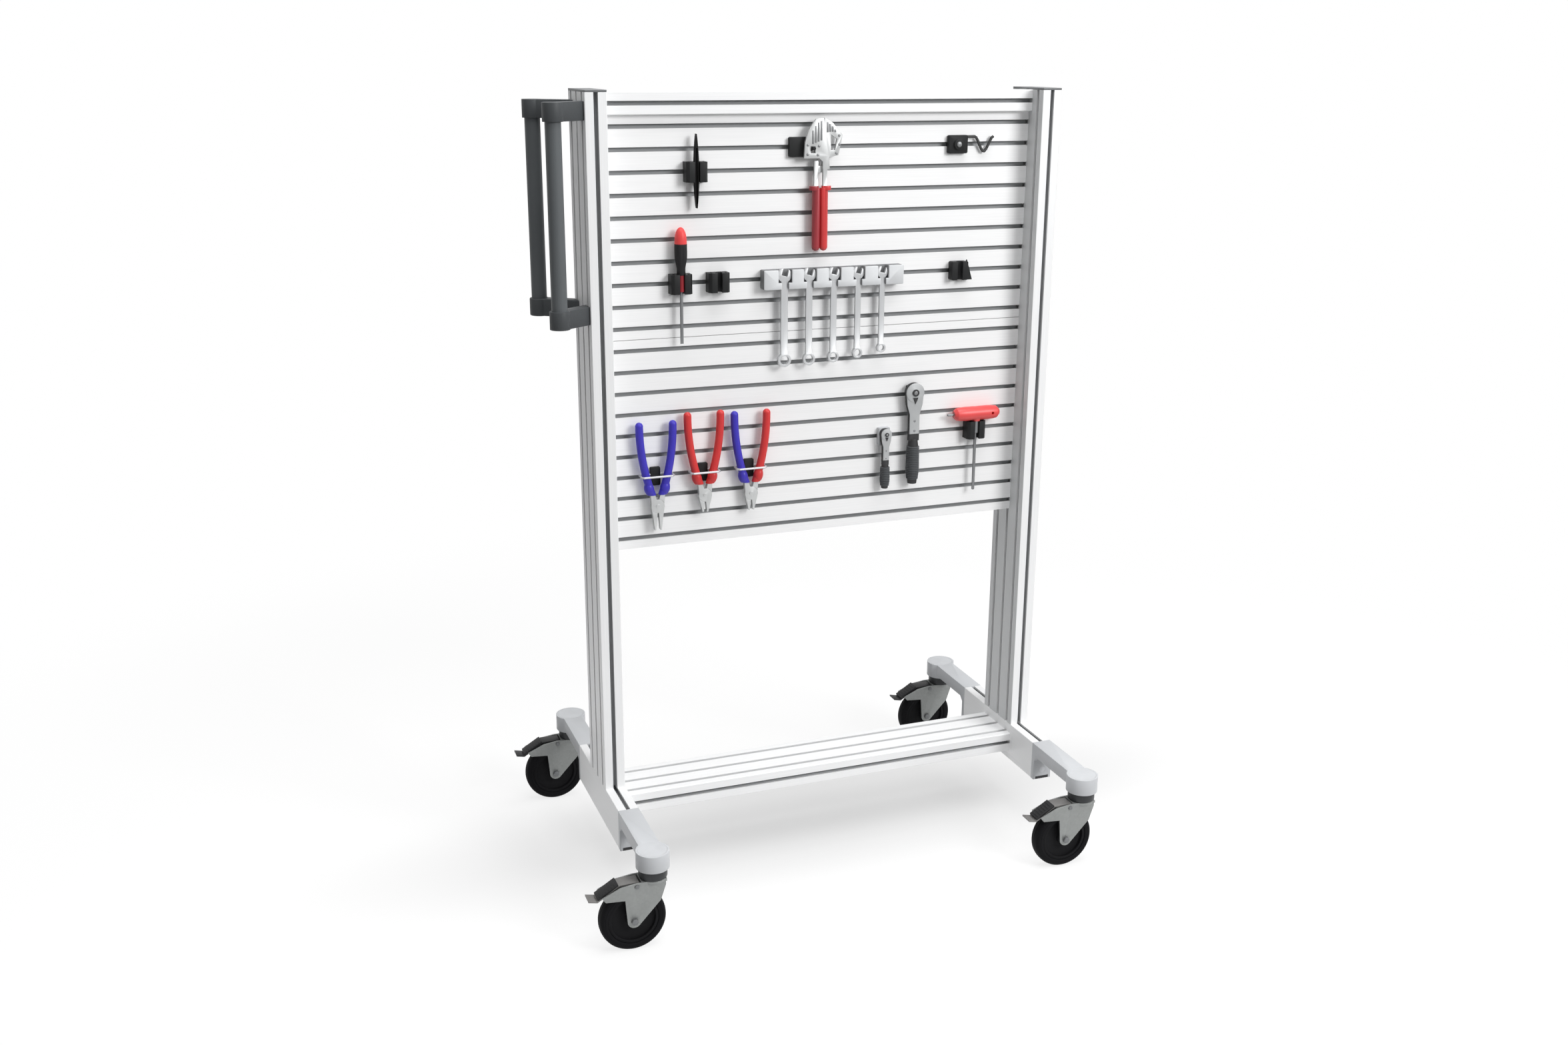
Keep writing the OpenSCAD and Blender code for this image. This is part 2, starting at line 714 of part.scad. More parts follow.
plier_block_w = 20;
plier_block_d = 6;
block_d = 9.5;
crimper_peg = [-23.5, -2];
crimper_peg_d = 6;
crimper_block_x = -45;
drive_w = 9;
hook_y = -6;
hook_wire_d = 5.4;

module holder_blocks() {
    color("#2b2b2b") {
        for (place = pliers_at) at_slot(place) block(plier_block_w, clip_h, plier_block_d);
        at_slot(crimper_at) {
            translate([crimper_block_x, 0, 0]) block(clip_w, clip_h, block_d);
            translate([crimper_peg[0], 0, crimper_peg[1]]) rotate([90, 0, 0])
                cylinder(d = crimper_peg_d, h = tool_stand + 12);
            translate([crimper_block_x, -block_d, crimper_peg[1] - 5])
                cube([crimper_peg[0] - crimper_block_x + crimper_peg_d / 2, block_d / 2, 10]);
        }
        for (place = [small_ratchet_at, large_ratchet_at]) at_slot(place) difference() {
            block(clip_w * 0.6, clip_h, block_d);
            translate([-drive_w / 2 - pass, -block_d - over, ratchet_rise - drive_w / 2 - pass])
                cube([drive_w + 2 * pass, block_d - over, drive_w + 2 * pass]);
        }
        at_slot(hook_at) {
            block(clip_w, clip_h - 2, block_d);
            rotate([90, 0, 0]) cylinder(d = 20, h = block_d + wire_d);
        }
        at_slot(tab_at) difference() {
            union() {
                block(clip_w - 6, clip_h, block_d + 8);
                translate([clip_w / 2 - 8, -block_d, 0]) rotate([90, 0, 0]) linear_extrude(4)
                    polygon([[0, clip_h / 2 - 6], [4, clip_h / 2 + 3], [16, -clip_h / 2], [0, -clip_h / 2]]);
            }
            translate([0, -block_d - 4, -clip_h]) cylinder(d = clip_bore, h = 2 * clip_h);
            translate([-clip_gap / 2, -2 * clip_d, -clip_h])
                cube([clip_gap, 2 * clip_d - block_d - 4, 2 * clip_h]);
        }
    }
}

// Round wire through points of one plane, whose normal is up, as a tube with mitred bends
wire_sides = 10;
function unit(v) = v / norm(v);
function run(points, i) = unit(points[i + 1] - points[i]);
function heading(points, i) = i == 0 ? run(points, 0)
    : i == len(points) - 1 ? run(points, i - 1) : unit(run(points, i - 1) + run(points, i));
function mitre(points, i) = heading(points, i) * run(points, min(i, len(points) - 2));
function wire_ring(points, i, up, r) = [for (j = [0 : wire_sides - 1]) let (a = 360 * j / wire_sides)
    points[i] + r * (cos(a) / mitre(points, i) * cross(up, heading(points, i)) + sin(a) * up)];

module wire(points, d, up) {
    last = len(points) - 1;
    corners = [for (i = [0 : last]) each wire_ring(points, i, up, d / 2)];
    sides = [for (i = [0 : last - 1], j = [0 : wire_sides - 1], half = [0, 1])
        let (k = (j + 1) % wire_sides, near = i * wire_sides, far = near + wire_sides)
            half == 0 ? [near + j, far + j, far + k] : [near + j, far + k, near + k]];
    caps = [[for (j = [0 : wire_sides - 1]) j], [for (j = [wire_sides - 1 : -1 : 0]) last * wire_sides + j]];
    polyhedron(corners, concat(sides, caps));
}

// Pliers hang behind a wire loop. The curve of a handle is an arc that ends upright at its tip.
handle_tip = [32.5, 156];
handle_arc = 410;
loop_rise = 4;
loop_drop = [59, 46, 51];
nose_len = [47, 33, 33];
guard_r = 9.5;
guard_half = 17;
guard_mid = [15.5, 34];
guard_lean = 12;
function handle_x(z) = handle_tip[0] - handle_arc + sqrt(pow(handle_arc, 2) - pow(handle_tip[1] - z, 2));
function grip_out(z) = max(guard_mid[0] + guard_r * 1.06, handle_x(z) + grip_r * 1.06);
function loop_half(i) = grip_out(loop_drop[i]) + pass + wire_d / 2;
loop_back = -wire_d / 2 - 2;
loop_front = -tool_stand - guard_r - pass - wire_d / 2;

// Points of the wave-shaped hook: a run out of the block, a drop and a rise
hook_points = [for (t = [0 : 0.5 : 8]) [clip_w / 2 - 3 + t * 7.3, hook_y,
    t < 2.5 ? 14 : 14 - 14 * (1 - cos((t - 2.5) * 64))]];

module holder_wires() {
    color("lightgray") for (i = [0 : 2]) at_slot(pliers_at[i]) translate([0, 0, loop_rise]) {
        w = loop_half(i);
        wire([[-plier_block_w / 2 + 2, loop_back, 0], [-w + 4, loop_back, 0], [-w, loop_back - 4, 0],
            [-w, loop_front + 4, 0], [-w + 4, loop_front, 0], [w - 4, loop_front, 0], [w, loop_front + 4, 0],
            [w, loop_back - 4, 0], [w - 4, loop_back, 0], [plier_block_w / 2 - 2, loop_back, 0]],
            wire_d, [0, 0, 1]);
    }
    color("#2b2b2b") at_slot(hook_at) wire(hook_points, hook_wire_d, [0, 1, 0]);
}

// Spanner rack and spanners

rack_d = 24;
rack_back = 6;
ledge = 12;
function head_r(i) = 13.5 - 0.6 * i;
function shank_w(i) = 13.5 - 0.7 * i;
function ring_r(i) = 13 - i;
function length(i) = spanner_len - 1.3 * i * i;
function spanner_x(i) = rack_at[0] + (i - 2) * spanner_pitch;
spanner_t = 6;
rack_end = 17;
rack_w = 5 * spanner_pitch + 2 * rack_end;

module spanner_rack() {
    color("silver") at_slot(rack_at) {
        difference() {
            rotate([90, 0, 0]) linear_extrude(rack_d) rounded(rack_w, clip_h, 2);
            for (i = [0 : 4]) translate([spanner_x(i) - rack_at[0], -rack_d - over, 0]) {
                deep = rack_d - rack_back + over;
                translate([-head_r(i) - pass, 0, ledge - clip_h / 2])
                    cube([2 * head_r(i) + 2 * pass, deep, clip_h]);
                translate([-shank_w(i) / 2 - pass, 0, -clip_h])
                    cube([shank_w(i) + 2 * pass, deep, 2 * clip_h]);
            }
        }
        slot_tongue(rack_w - rack_end);
    }
}

// Combination spanner, open jaw up and ring down. Its head rests on the ledge of its notch.
module spanner(i) {
    r = head_r(i);
    ring = ring_r(i);
    low = ledge - clip_h / 2 + pass;
    ring_z = low + 2 * r - length(i) + ring;
    color("silver") translate([spanner_x(i), tool_y, slot_z(rack_at[1])]) {
        rotate([90, 0, 0]) translate([0, 0, -spanner_t / 2]) {
            linear_extrude(spanner_t) difference() {
                translate([0, low + r]) circle(r);
                translate([0, low + r]) rotate(-15) translate([-r * 0.45, -r * 0.1]) square([r * 0.9, 2 * r]);
            }
            translate([0, 0, spanner_t * 0.1]) linear_extrude(spanner_t * 0.8) difference() {
                translate([-shank_w(i) / 2, ring_z]) square([shank_w(i), low + r * 0.6 - ring_z]);
                translate([0, ring_z]) circle(ring * 0.8);
            }
            linear_extrude(spanner_t + 2) difference() {
                translate([0, ring_z]) circle(ring);
                translate([0, ring_z]) circle(ring * 0.66, $fn = 12);
            }
        }
    }
}

// Drivers. The ferrule of each sits in a spring clip and its shoulder rests on the clip.
ferrule_d = clip_bore - 2 * pass;
shoulder_z = clip_h / 2 + pass;
blade_r = 3;

module screwdriver() {
    low = shoulder_z;
    ferrule = 30;
    socket = 8;
    blade = 128;
    neck_r = 8;
    grip_max = 11.5;
    dome_r = 10.8;
    dome_z = low + 76;
    color("firebrick") at_slot(driver_at, tool_y) {
        rotate_extrude() difference() {
            union() {
                polygon([[0, low - ferrule], [ferrule_d / 2, low - ferrule], [ferrule_d / 2, low],
                    [neck_r, low + 2], [neck_r, low + 14], [grip_max, low + 32], [grip_max, low + 62],
                    [dome_r - pass, dome_z - 2], [0, dome_z - 2]]);
                translate([0, dome_z]) intersection() {
                    circle(dome_r);
                    translate([0, -3]) square(dome_r + over);
                }
            }
            translate([-over, low - ferrule - over]) square([blade_r + fit + over, ferrule + socket + over]);
        }
        translate([0, 0, low - blade]) difference() {
            cylinder(r = blade_r, h = blade + socket - over);
            for (s = [0, 180]) rotate([0, 0, s]) translate([-blade_r - over, 0.6, -over])
                rotate([-7, 0, 0]) cube([2 * blade_r + 2 * over, 8, 20]);
        }
    }
}

// The grip has a second, short drive in its left end and a hole to hang it by in its right end
module t_driver() {
    low = shoulder_z;
    grip = 15.5;
    half = 50;
    end_r = 10;
    ferrule = 24;
    socket = 10;
    shank = 144;
    stub = 14;
    color("firebrick") at_slot(t_driver_at, tool_y) {
        difference() {
            union() {
                translate([0, 0, low + grip]) rotate([0, 90, 0]) rotate_extrude()
                    polygon([[0, -half], [end_r, -half], [grip, 6 - half], [grip * 0.9, 0],
                        [grip, half - 6], [end_r, half], [0, half]]);
                translate([0, 0, low - ferrule]) cylinder(d = ferrule_d, h = ferrule + grip);
                translate([0, 0, low]) cylinder(d1 = ferrule_d + 4, d2 = 2 * grip - 6, h = grip);
            }
            translate([0, 0, low - ferrule - over]) cylinder(r = blade_r + fit, h = ferrule + socket + over);
            translate([0, 0, low + grip]) {
                translate([-half - over, 0, 0]) rotate([0, 90, 0])
                    cylinder(r = blade_r + fit, h = socket + over);
                translate([half - 1.2 * grip, 2 * grip, 0]) rotate([90, 0, 0])
                    cylinder(r = blade_r, h = 4 * grip);
            }
        }
        translate([0, 0, low - shank]) cylinder(r = blade_r, h = shank + socket - over);
        translate([-half - stub, 0, low + grip]) rotate([0, 90, 0])
            cylinder(r = blade_r, h = stub + socket - over, $fn = 6);
    }
}

// Tweezers: two springy arms of a slim spindle, joined at the upper point
module tweezers() {
    half = 70;
    tip = 67;
    wide = 4.5;
    slit = 1.4;
    deep = 10;
    steps = 8;
    right = [for (i = [-steps : steps]) let (z = tip * i / steps) [wide * (1 - pow(z / half, 2)), z]];
    left = [for (i = [2 * steps : -1 : 0]) [-right[i][0], right[i][1]]];
    color("#161616") at_slot(tweezers_at, tool_y) rotate([90, 0, 0]) translate([0, 0, -deep / 2])
        linear_extrude(deep) difference() {
            polygon(concat(right, left));
            translate([-slit / 2, -half]) square([slit, half * 1.6]);
        }
}

// Crimping plier: two flat halves that cross at the rivet, so each jaw moves with the handle of the other
// side. Its red handles hang side by side.
crimper_pivot = [3, -30];
crimper_t = 5;
crimper_grip = 7.6;
crimper_low = -182;
crimper_hilt = -74;

module crimper_half(side) {
    jaw = side < 0
        ? [[-3, 52], [-18, 50], [-31, 33], [-39, 10], [-41, -20], [-11, -20], [-4, -26], [-4, -40],
            [10, -40], [8, -16]]
        : [[1, 52], [17, 43], [37, 21], [29, -15], [17, -18], [10, -20], [10, -40], [-4, -40], [-2, -18]];
    window = side < 0 ? [[-28, -8], [-19, -8], [-19, 4], [-28, 4]] : [[14, 22], [26, 14], [22, -6], [14, -6]];
    window_at = side < 0 ? crimper_peg - [-23.5, -2] + [0, crimper_peg_d / 2 - 6 + pass] : [0, 0];
    layer = side < 0 ? pass / 2 : -crimper_t - pass / 2;
    hand = -side;
    arm_x = hand * (crimper_grip + pass / 2) - 7;
    color(side < 0 ? "firebrick" : "red") at_slot(crimper_at, tool_y) difference() {
        union() {
            rotate([90, 0, 0]) translate([0, 0, layer]) linear_extrude(crimper_t) difference() {
                union() {
                    polygon(jaw);
                    translate([arm_x - 4, -100]) square([8, 75]);
                    translate([min(arm_x, crimper_pivot[0]), -46])
                        square([abs(arm_x - crimper_pivot[0]), 12]);
                }
                translate(window_at) polygon(window);
            }
            translate([arm_x, 0, crimper_low]) cylinder(r = crimper_grip, h = crimper_hilt - crimper_low);
            translate([arm_x, 0, crimper_low]) sphere(crimper_grip);
            translate([arm_x + hand * 4.5, 0, crimper_hilt - 4]) cylinder(r = crimper_grip + 1.4, h = 8);
            if (side < 0) translate([crimper_pivot[0], 0, crimper_pivot[1]]) rotate([90, 0, 0])
                translate([0, 0, -crimper_t - 2]) cylinder(r = 4, h = crimper_t + 2 + pass);
        }
        if (side > 0) translate([crimper_pivot[0], 0, crimper_pivot[1]]) rotate([90, 0, 0])
            translate([0, 0, -2 * crimper_t]) cylinder(r = 4 + fit, h = 4 * crimper_t);
    }
}

module crimper_left() { crimper_half(-1); }
module crimper_right() { crimper_half(1); }

// One half of plier i. side is the side of its handle, and its jaw is on the other side.
plier_t = 10;
rivet_r = 4;
lap_r = 13;
jaw_open = 4.5;
function plier_z(i) = loop_rise - loop_drop[i];

module plier_half(i, side, tint) {
    nose = nose_len[i];
    lean = nose * tan(jaw_open);
    tang = 48;
    color(tint) at_slot(pliers_at[i], tool_y) translate([0, 0, plier_z(i)]) mirror([side > 0 ? 0 : 1, 0, 0]) {
        difference() {
            union() {
                rotate([90, 0, 0]) translate([0, 0, -plier_t / 2]) linear_extrude(plier_t) {
                    circle(lap_r);
                    polygon([[-pass, -6], [-lap_r * 0.95, -5], [-lap_r * 0.7, -nose * 0.55],
                        [-lean - 3, -nose], [-lean - pass, -nose],
                        [-pass - nose * 0.4 * tan(jaw_open), -nose * 0.4]]);
                    polygon([[pass, 6], [lap_r * 0.95, 4], [handle_x(22) + 4, 22], [handle_x(22) - 5, 22]]);
                }
                rotate([90, 0, 0]) translate([0, 0, -plier_t / 4]) linear_extrude(plier_t / 2)
                    polygon([[2, 6], [9, 5], [handle_x(tang) + 2.5, tang], [handle_x(tang) - 2.5, tang]]);
                if (side < 0) rotate([90, 0, 0]) translate([0, 0, -plier_t / 2 - 1])
                    cylinder(r = rivet_r, h = plier_t + 2);
            }
            lap_cut(side);
            if (side > 0) rotate([90, 0, 0]) translate([0, 0, -plier_t])
                cylinder(r = rivet_r + fit, h = 2 * plier_t);
        }
        plier_grip(tang);
    }
}

// Room for the other half's disc in the lap, leaving the rivet standing on the half that holds it
module lap_cut(side) {
    rotate([90, 0, 0]) difference() {
        translate([0, 0, side < 0 ? -plier_t : -seat]) cylinder(r = lap_r + pass, h = plier_t + seat);
        if (side < 0) translate([0, 0, -2 * plier_t]) cylinder(r = rivet_r, h = 4 * plier_t);
    }
}

// Dipped grip along the handle's arc. The guard at its lower end is turned about its own axis.
module plier_grip(tang) {
    turn = asin((handle_tip[1] - 20) / handle_arc);
    guard_arc = (pow(guard_half, 2) + pow(guard_r, 2)) / (2 * guard_r);
    difference() {
        union() {
            translate([handle_tip[0] - handle_arc, 0, handle_tip[1]]) rotate([90, 0, 0])
                rotate([0, 0, -turn]) rotate_extrude(angle = turn) translate([handle_arc, 0]) circle(grip_r);
            translate([handle_tip[0], 0, handle_tip[1]]) sphere(grip_r);
            translate([guard_mid[0], 0, guard_mid[1]]) rotate([0, guard_lean, 0]) rotate_extrude()
            intersection() {
                translate([guard_r - guard_arc, 0]) circle(guard_arc);
                translate([0, -guard_half]) square([guard_r + over, 2 * guard_half]);
            }
        }
        rotate([90, 0, 0]) translate([0, 0, -plier_t / 4]) linear_extrude(plier_t / 2)
            polygon([[2, 6], [9, 5], [handle_x(tang) + 2.5, tang], [handle_x(tang) - 2.5, tang]]);
        translate([-2 * lap_r, -plier_t, -lap_r]) cube([4 * lap_r, 2 * plier_t, lap_r + 22]);
    }
}

// Ratchets. A square drive at the back of the head plugs into the holder block.
ratchet_rise = 6;
// Radius of the head, reach below the drive, length and width of the grip
small_ratchet_size = [11, 110, 52, 17];
large_ratchet_size = [19, 185, 92, 24];

module ratchet(size) {
    r = size[0];
    reach = size[1];
    grip_len = size[2];
    grip_w = size[3];
    t = 12;
    neck = r * 0.55;
    grip_top = grip_len - reach;
    rotate([90, 0, 0]) translate([0, 0, -t / 2]) {
        cylinder(r = r, h = t);
        translate([0, 0, 1]) linear_extrude(t - 2)
            polygon([[-r * 0.98, 0], [r * 0.98, 0], [r * 0.85, -r * 1.3], [neck, -r * 2.3],
                [neck, grip_top - 4], [-neck, grip_top - 4], [-neck, -r * 2.3], [-r * 0.85, -r * 1.3]]);
        translate([0, 0, t]) cylinder(r = r * 0.38, h = 2);
        translate([0, 0, t - over]) linear_extrude(over + 1.5)
            polygon([[-r * 0.3, -r * 0.5], [r * 0.3, -r * 0.5], [0, -r * 1.2]]);
        translate([-drive_w / 2, -drive_w / 2, t / 2 - tool_stand + 2 + pass])
            cube([drive_w, drive_w, tool_stand]);
    }
    translate([0, 0, -reach]) rotate_extrude()
        polygon([[0, 0], [grip_w * 0.38, 0], [grip_w * 0.5, grip_len * 0.3], [grip_w * 0.46, grip_len * 0.8],
            [grip_w * 0.36, grip_len], [0, grip_len]]);
}

module small_ratchet() {
    color("silver") at_slot(small_ratchet_at, tool_y)
        translate([0, 0, ratchet_rise]) ratchet(small_ratchet_size);
}

module large_ratchet() {
    color("silver") at_slot(large_ratchet_at, tool_y)
        translate([0, 0, ratchet_rise]) ratchet(large_ratchet_size);
}

left_post();
right_post();
top_beam();
bottom_beam();
left_foot();
right_foot();
post_caps();
upper_panel();
lower_panel();
panel_brackets();
slot_fasteners();
frame_screws();
handle_tubes();
handle_brackets();
castor_arms();
arm_caps();
castor_stems();
castor_heads();
corner(0) fork();  // front_left_fork
corner(0) axle();  // front_left_axle
corner(0) hub();  // front_left_hub
corner(0) tyre();  // front_left_tyre
corner(0) pedal();  // front_left_pedal
corner(1) fork();  // front_right_fork
corner(1) axle();  // front_right_axle
corner(1) hub();  // front_right_hub
corner(1) tyre();  // front_right_tyre
corner(1) pedal();  // front_right_pedal
corner(2) fork();  // rear_left_fork
corner(2) axle();  // rear_left_axle
corner(2) hub();  // rear_left_hub
corner(2) tyre();  // rear_left_tyre
corner(2) pedal();  // rear_left_pedal
corner(3) fork();  // rear_right_fork
corner(3) axle();  // rear_right_axle
corner(3) hub();  // rear_right_hub
corner(3) tyre();  // rear_right_tyre
corner(3) pedal();  // rear_right_pedal
spring_clips();
holder_blocks();
holder_wires();
spanner_rack();
spanner(0);  // spanner_1
spanner(1);  // spanner_2
spanner(2);  // spanner_3
spanner(3);  // spanner_4
spanner(4);  // spanner_5
screwdriver();
t_driver();
tweezers();
crimper_left();
crimper_right();
plier_half(0, -1, "royalblue");  // long_nose_left
plier_half(0, 1, "royalblue");  // long_nose_right
plier_half(1, -1, "firebrick");  // cutter_left
plier_half(1, 1, "firebrick");  // cutter_right
plier_half(2, -1, "royalblue");  // plier_left
plier_half(2, 1, "firebrick");  // plier_right
small_ratchet();
large_ratchet();
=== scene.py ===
# %% [markdown]
# # A mobile tool panel
# A wheeled frame of slotted aluminium profile carries a slotted wall with hand tools on it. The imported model
# gives every solid at its real size, so this lesson adds what a solid lacks: rounded edges, turned and moulded
# details, finishes and a studio. All lengths are metres in the model's own frame: +X to the right seen from
# the tool side, +Y to the rear and +Z up, with the origin on the floor. Small sizes are typed in millimetres.

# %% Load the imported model
import json
import math

import bmesh
import bpy
from mathutils import Matrix, Vector

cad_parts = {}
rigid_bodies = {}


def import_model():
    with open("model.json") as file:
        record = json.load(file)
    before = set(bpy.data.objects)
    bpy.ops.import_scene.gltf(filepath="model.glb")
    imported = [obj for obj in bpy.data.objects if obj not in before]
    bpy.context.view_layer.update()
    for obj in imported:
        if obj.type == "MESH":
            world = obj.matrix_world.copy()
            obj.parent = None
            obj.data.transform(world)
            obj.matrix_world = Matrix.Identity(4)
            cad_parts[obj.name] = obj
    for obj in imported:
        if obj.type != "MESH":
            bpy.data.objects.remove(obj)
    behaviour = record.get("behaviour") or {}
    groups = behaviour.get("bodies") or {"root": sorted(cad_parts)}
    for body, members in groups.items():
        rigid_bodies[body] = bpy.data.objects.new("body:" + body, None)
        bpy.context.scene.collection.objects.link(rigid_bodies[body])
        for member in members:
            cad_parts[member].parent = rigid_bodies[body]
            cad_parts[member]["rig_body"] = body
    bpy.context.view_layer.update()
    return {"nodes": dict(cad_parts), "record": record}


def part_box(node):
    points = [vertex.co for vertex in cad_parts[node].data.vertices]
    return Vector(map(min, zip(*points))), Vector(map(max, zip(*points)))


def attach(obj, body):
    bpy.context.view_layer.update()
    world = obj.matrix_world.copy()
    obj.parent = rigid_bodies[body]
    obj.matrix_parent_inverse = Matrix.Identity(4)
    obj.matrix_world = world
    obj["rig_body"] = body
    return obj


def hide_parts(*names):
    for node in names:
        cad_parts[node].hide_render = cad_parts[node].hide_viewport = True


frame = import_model()
NODES = frame["nodes"]
SLOT_OF = {part["node"]: part["material_slot"] for part in frame["record"]["subparts"]}
CORNERS = ("front_left", "front_right", "rear_left", "rear_right")
X, Y, Z = range(3)
MM = 0.001

# %% [markdown]
# ## The camera
# A camera can be nudged by eye until its picture fits, but straight lines of a known pitch say more. The photograph
# was matched by fitting a camera to the slot lines, which are 40 mm apart. That gives the place of the lens, three
# angles and a focal length in pixels of a 2352 by 1568 image. A camera looks along its own -Z, so its matrix is
# built from the directions right, up and ahead.

# %% Camera
IMAGE_W = 2352
FOCAL_PX = 2340.4
SENSOR_MM = 36.0
EYE = Vector((-1.1183, -2.7579, 1.5753))
YAW, PITCH, ROLL = 0.3621, 0.2958, 0.0057

ahead = Vector((math.sin(YAW) * math.cos(PITCH), math.cos(YAW) * math.cos(PITCH), -math.sin(PITCH)))
level = Vector((math.cos(YAW), -math.sin(YAW), 0.0))
upright = level.cross(ahead)
right = math.cos(ROLL) * level + math.sin(ROLL) * upright
up = math.cos(ROLL) * upright - math.sin(ROLL) * level

lens = bpy.data.cameras.new("camera")
lens.sensor_fit = "HORIZONTAL"
lens.sensor_width = SENSOR_MM
lens.lens = SENSOR_MM * FOCAL_PX / IMAGE_W
camera = bpy.data.objects.new("camera", lens)
bpy.context.scene.collection.objects.link(camera)
camera.matrix_world = Matrix.Translation(EYE) @ Matrix((right, up, -ahead)).transposed().to_4x4()
bpy.context.scene.camera = camera
bpy.context.scene.view_settings.view_transform = "Standard"
print("lens", round(lens.lens, 2), "mm")

# %% [markdown]
# ## Shader sums as Python sums
# A finish is a tree of shader nodes. Wiring Math nodes by hand is slow to read, so a small class wraps one
# output socket and lets Python's operators add the Math nodes. A second class holds a tree and has a single
# method for every other node.

# %% Shader values and node trees


class Term:
    """One value in a tree of nodes. Arithmetic on it adds Math nodes."""

    def __init__(self, tree, socket):
        self.tree = tree
        self.socket = socket

    def math(self, operation, first, second=0.0):
        return self.tree.node("ShaderNodeMath", {"operation": operation}, {0: first, 1: second})

    def __add__(self, other):
        return self.math("ADD", self, other)

    __radd__ = __add__

    def __mul__(self, other):
        return self.math("MULTIPLY", self, other)

    __rmul__ = __mul__

    def __sub__(self, other):
        return self.math("SUBTRACT", self, other)

    def __rsub__(self, other):
        return self.math("SUBTRACT", other, self)

    def __abs__(self):
        return self.math("ABSOLUTE", self)

    def least(self, other):
        return self.math("MINIMUM", self, other)

    def most(self, other):
        return self.math("MAXIMUM", self, other)

    def step(self, low, high):
        """0 below low, 1 above high, and smooth between them."""
        return self.tree.node("ShaderNodeMapRange", {"interpolation_type": "SMOOTHSTEP"},
                              {"Value": self, "From Min": low, "From Max": high})


class Tree:
    """The nodes of a material or of the world."""

    def __init__(self, owner):
        owner.use_nodes = True
        self.nodes = owner.node_tree.nodes
        self.links = owner.node_tree.links

    def node(self, kind, settings, values, out=0):
        made = self.nodes.new(kind)
        for key, value in settings.items():
            setattr(made, key, value)
        self.fill(made, values)
        return Term(self, made.outputs[out])

    def fill(self, node, values):
        for key, value in values.items():
            if isinstance(value, Term):
                self.links.new(value.socket, node.inputs[key])
            else:
                node.inputs[key].default_value = value


# %% [markdown]
# A material adds what all finishes here share: Object coordinates, which move with a piece, noise in several
# forms, and relief. A knife edge catches no light, so relief may start from the normal of a Bevel node, which
# rounds an edge for the light alone.

# %% Finishes
MIX_A, MIX_B, MIX_COLOUR = 6, 7, 2
BEVEL_SAMPLES = 4
COARSE, FINE, FINEST = 3.0, 2.0, 1.0
EDGE_R = 0.5 * MM


def shade(value):
    """An opaque colour from one grey level or from three levels."""
    levels = (value, value, value) if isinstance(value, float) else tuple(value)
    return (*levels, 1.0)


def times(colour, factor):
    """A darker or lighter tone of a colour, no brighter than white."""
    return shade(tuple(min(1.0, level * factor) for level in colour))


class Finish(Tree):
    """One material: a Principled shader, and the nodes that feed it."""

    def __init__(self, name):
        self.material = bpy.data.materials.new(name)
        super().__init__(self.material)
        self.shader = self.nodes["Principled BSDF"]
        self.place = self.node("ShaderNodeTexCoord", {}, {}, "Object")

    def set(self, values):
        self.fill(self.shader, values)
        return self.material

    def axes(self):
        return [self.node("ShaderNodeSeparateXYZ", {}, {"Vector": self.place}, axis) for axis in (X, Y, Z)]

    def noise(self, scale, stretch=(1.0, 1.0, 1.0), detail=COARSE):
        where = self.node("ShaderNodeMapping", {}, {"Vector": self.place, "Scale": stretch})
        return self.node("ShaderNodeTexNoise", {}, {"Vector": where, "Scale": scale, "Detail": detail})

    def lines(self, scale, along, squeeze):
        """Noise that is drawn out into lines along one axis."""
        stretch = [1.0, 1.0, 1.0]
        stretch[along] = squeeze
        return self.noise(scale, stretch, FINE)

    def blend(self, mask, first, second):
        return self.node("ShaderNodeMix", {"data_type": "RGBA"},
                         {0: mask, MIX_A: first, MIX_B: second}, MIX_COLOUR)

    def tones(self, mask, colour, spread):
        """A colour that a mask takes from its darker tone to its lighter one."""
        darker, lighter = spread
        return self.blend(mask, times(colour, darker), times(colour, lighter))

    def soft_normal(self, radius):
        return self.node("ShaderNodeBevel", {"samples": BEVEL_SAMPLES}, {"Radius": radius})

    def bump(self, height, depth, edge):
        """Relief of a given depth, over edges that the light sees as rounded by a small radius."""
        return self.node("ShaderNodeBump", {}, {"Height": height, "Strength": 1.0, "Distance": depth,
                                                "Normal": self.soft_normal(edge)})


def paint(node, material):
    """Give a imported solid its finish."""
    slots = NODES[node].data.materials
    slots.clear()
    slots.append(material)


# %% [markdown]
# ## Anodised aluminium
# Extruded profile has fine drawing lines along its length and a satin anodic skin. A picture of such metal would
# have to be unwrapped over every slot, so noise that is squeezed across the profile and stretched along it gives
# those lines. The rooms behind the slots' lips get a painted shade, greyer than the skin, and a point is in such a room
# when it lies deeper than the lips below every outer face. The left side of the right post gets a painted shade too.

# %% Anodised finishes
SATIN = (0.92, 0.925, 0.93)
PANEL_SATIN = (0.95, 0.955, 0.96)
PAINTED_SLOT_SHADE = (0.38, 0.39, 0.40)
PAINTED_SIDE_SHADE = (0.60, 0.61, 0.615)
ANODISED_TONES = (0.88, 1.06)
PROFILE_LIP, PANEL_LIP = 4.5 * MM, 3.0 * MM
LIP_FADE, SIDE_SHADE_DEPTH = 0.8 * MM, 0.2 * MM
DRAWN, DRAWN_ALONG, DRAWN_DEPTH = 720.0, 0.012, 0.03 * MM
SKIN_CLOUDS = 3.0
DRAWN_SHARE, CLOUD_SHARE = 0.6, 0.4
SKIN_ROUGH, DRAWN_ROUGHER = 0.40, 0.16


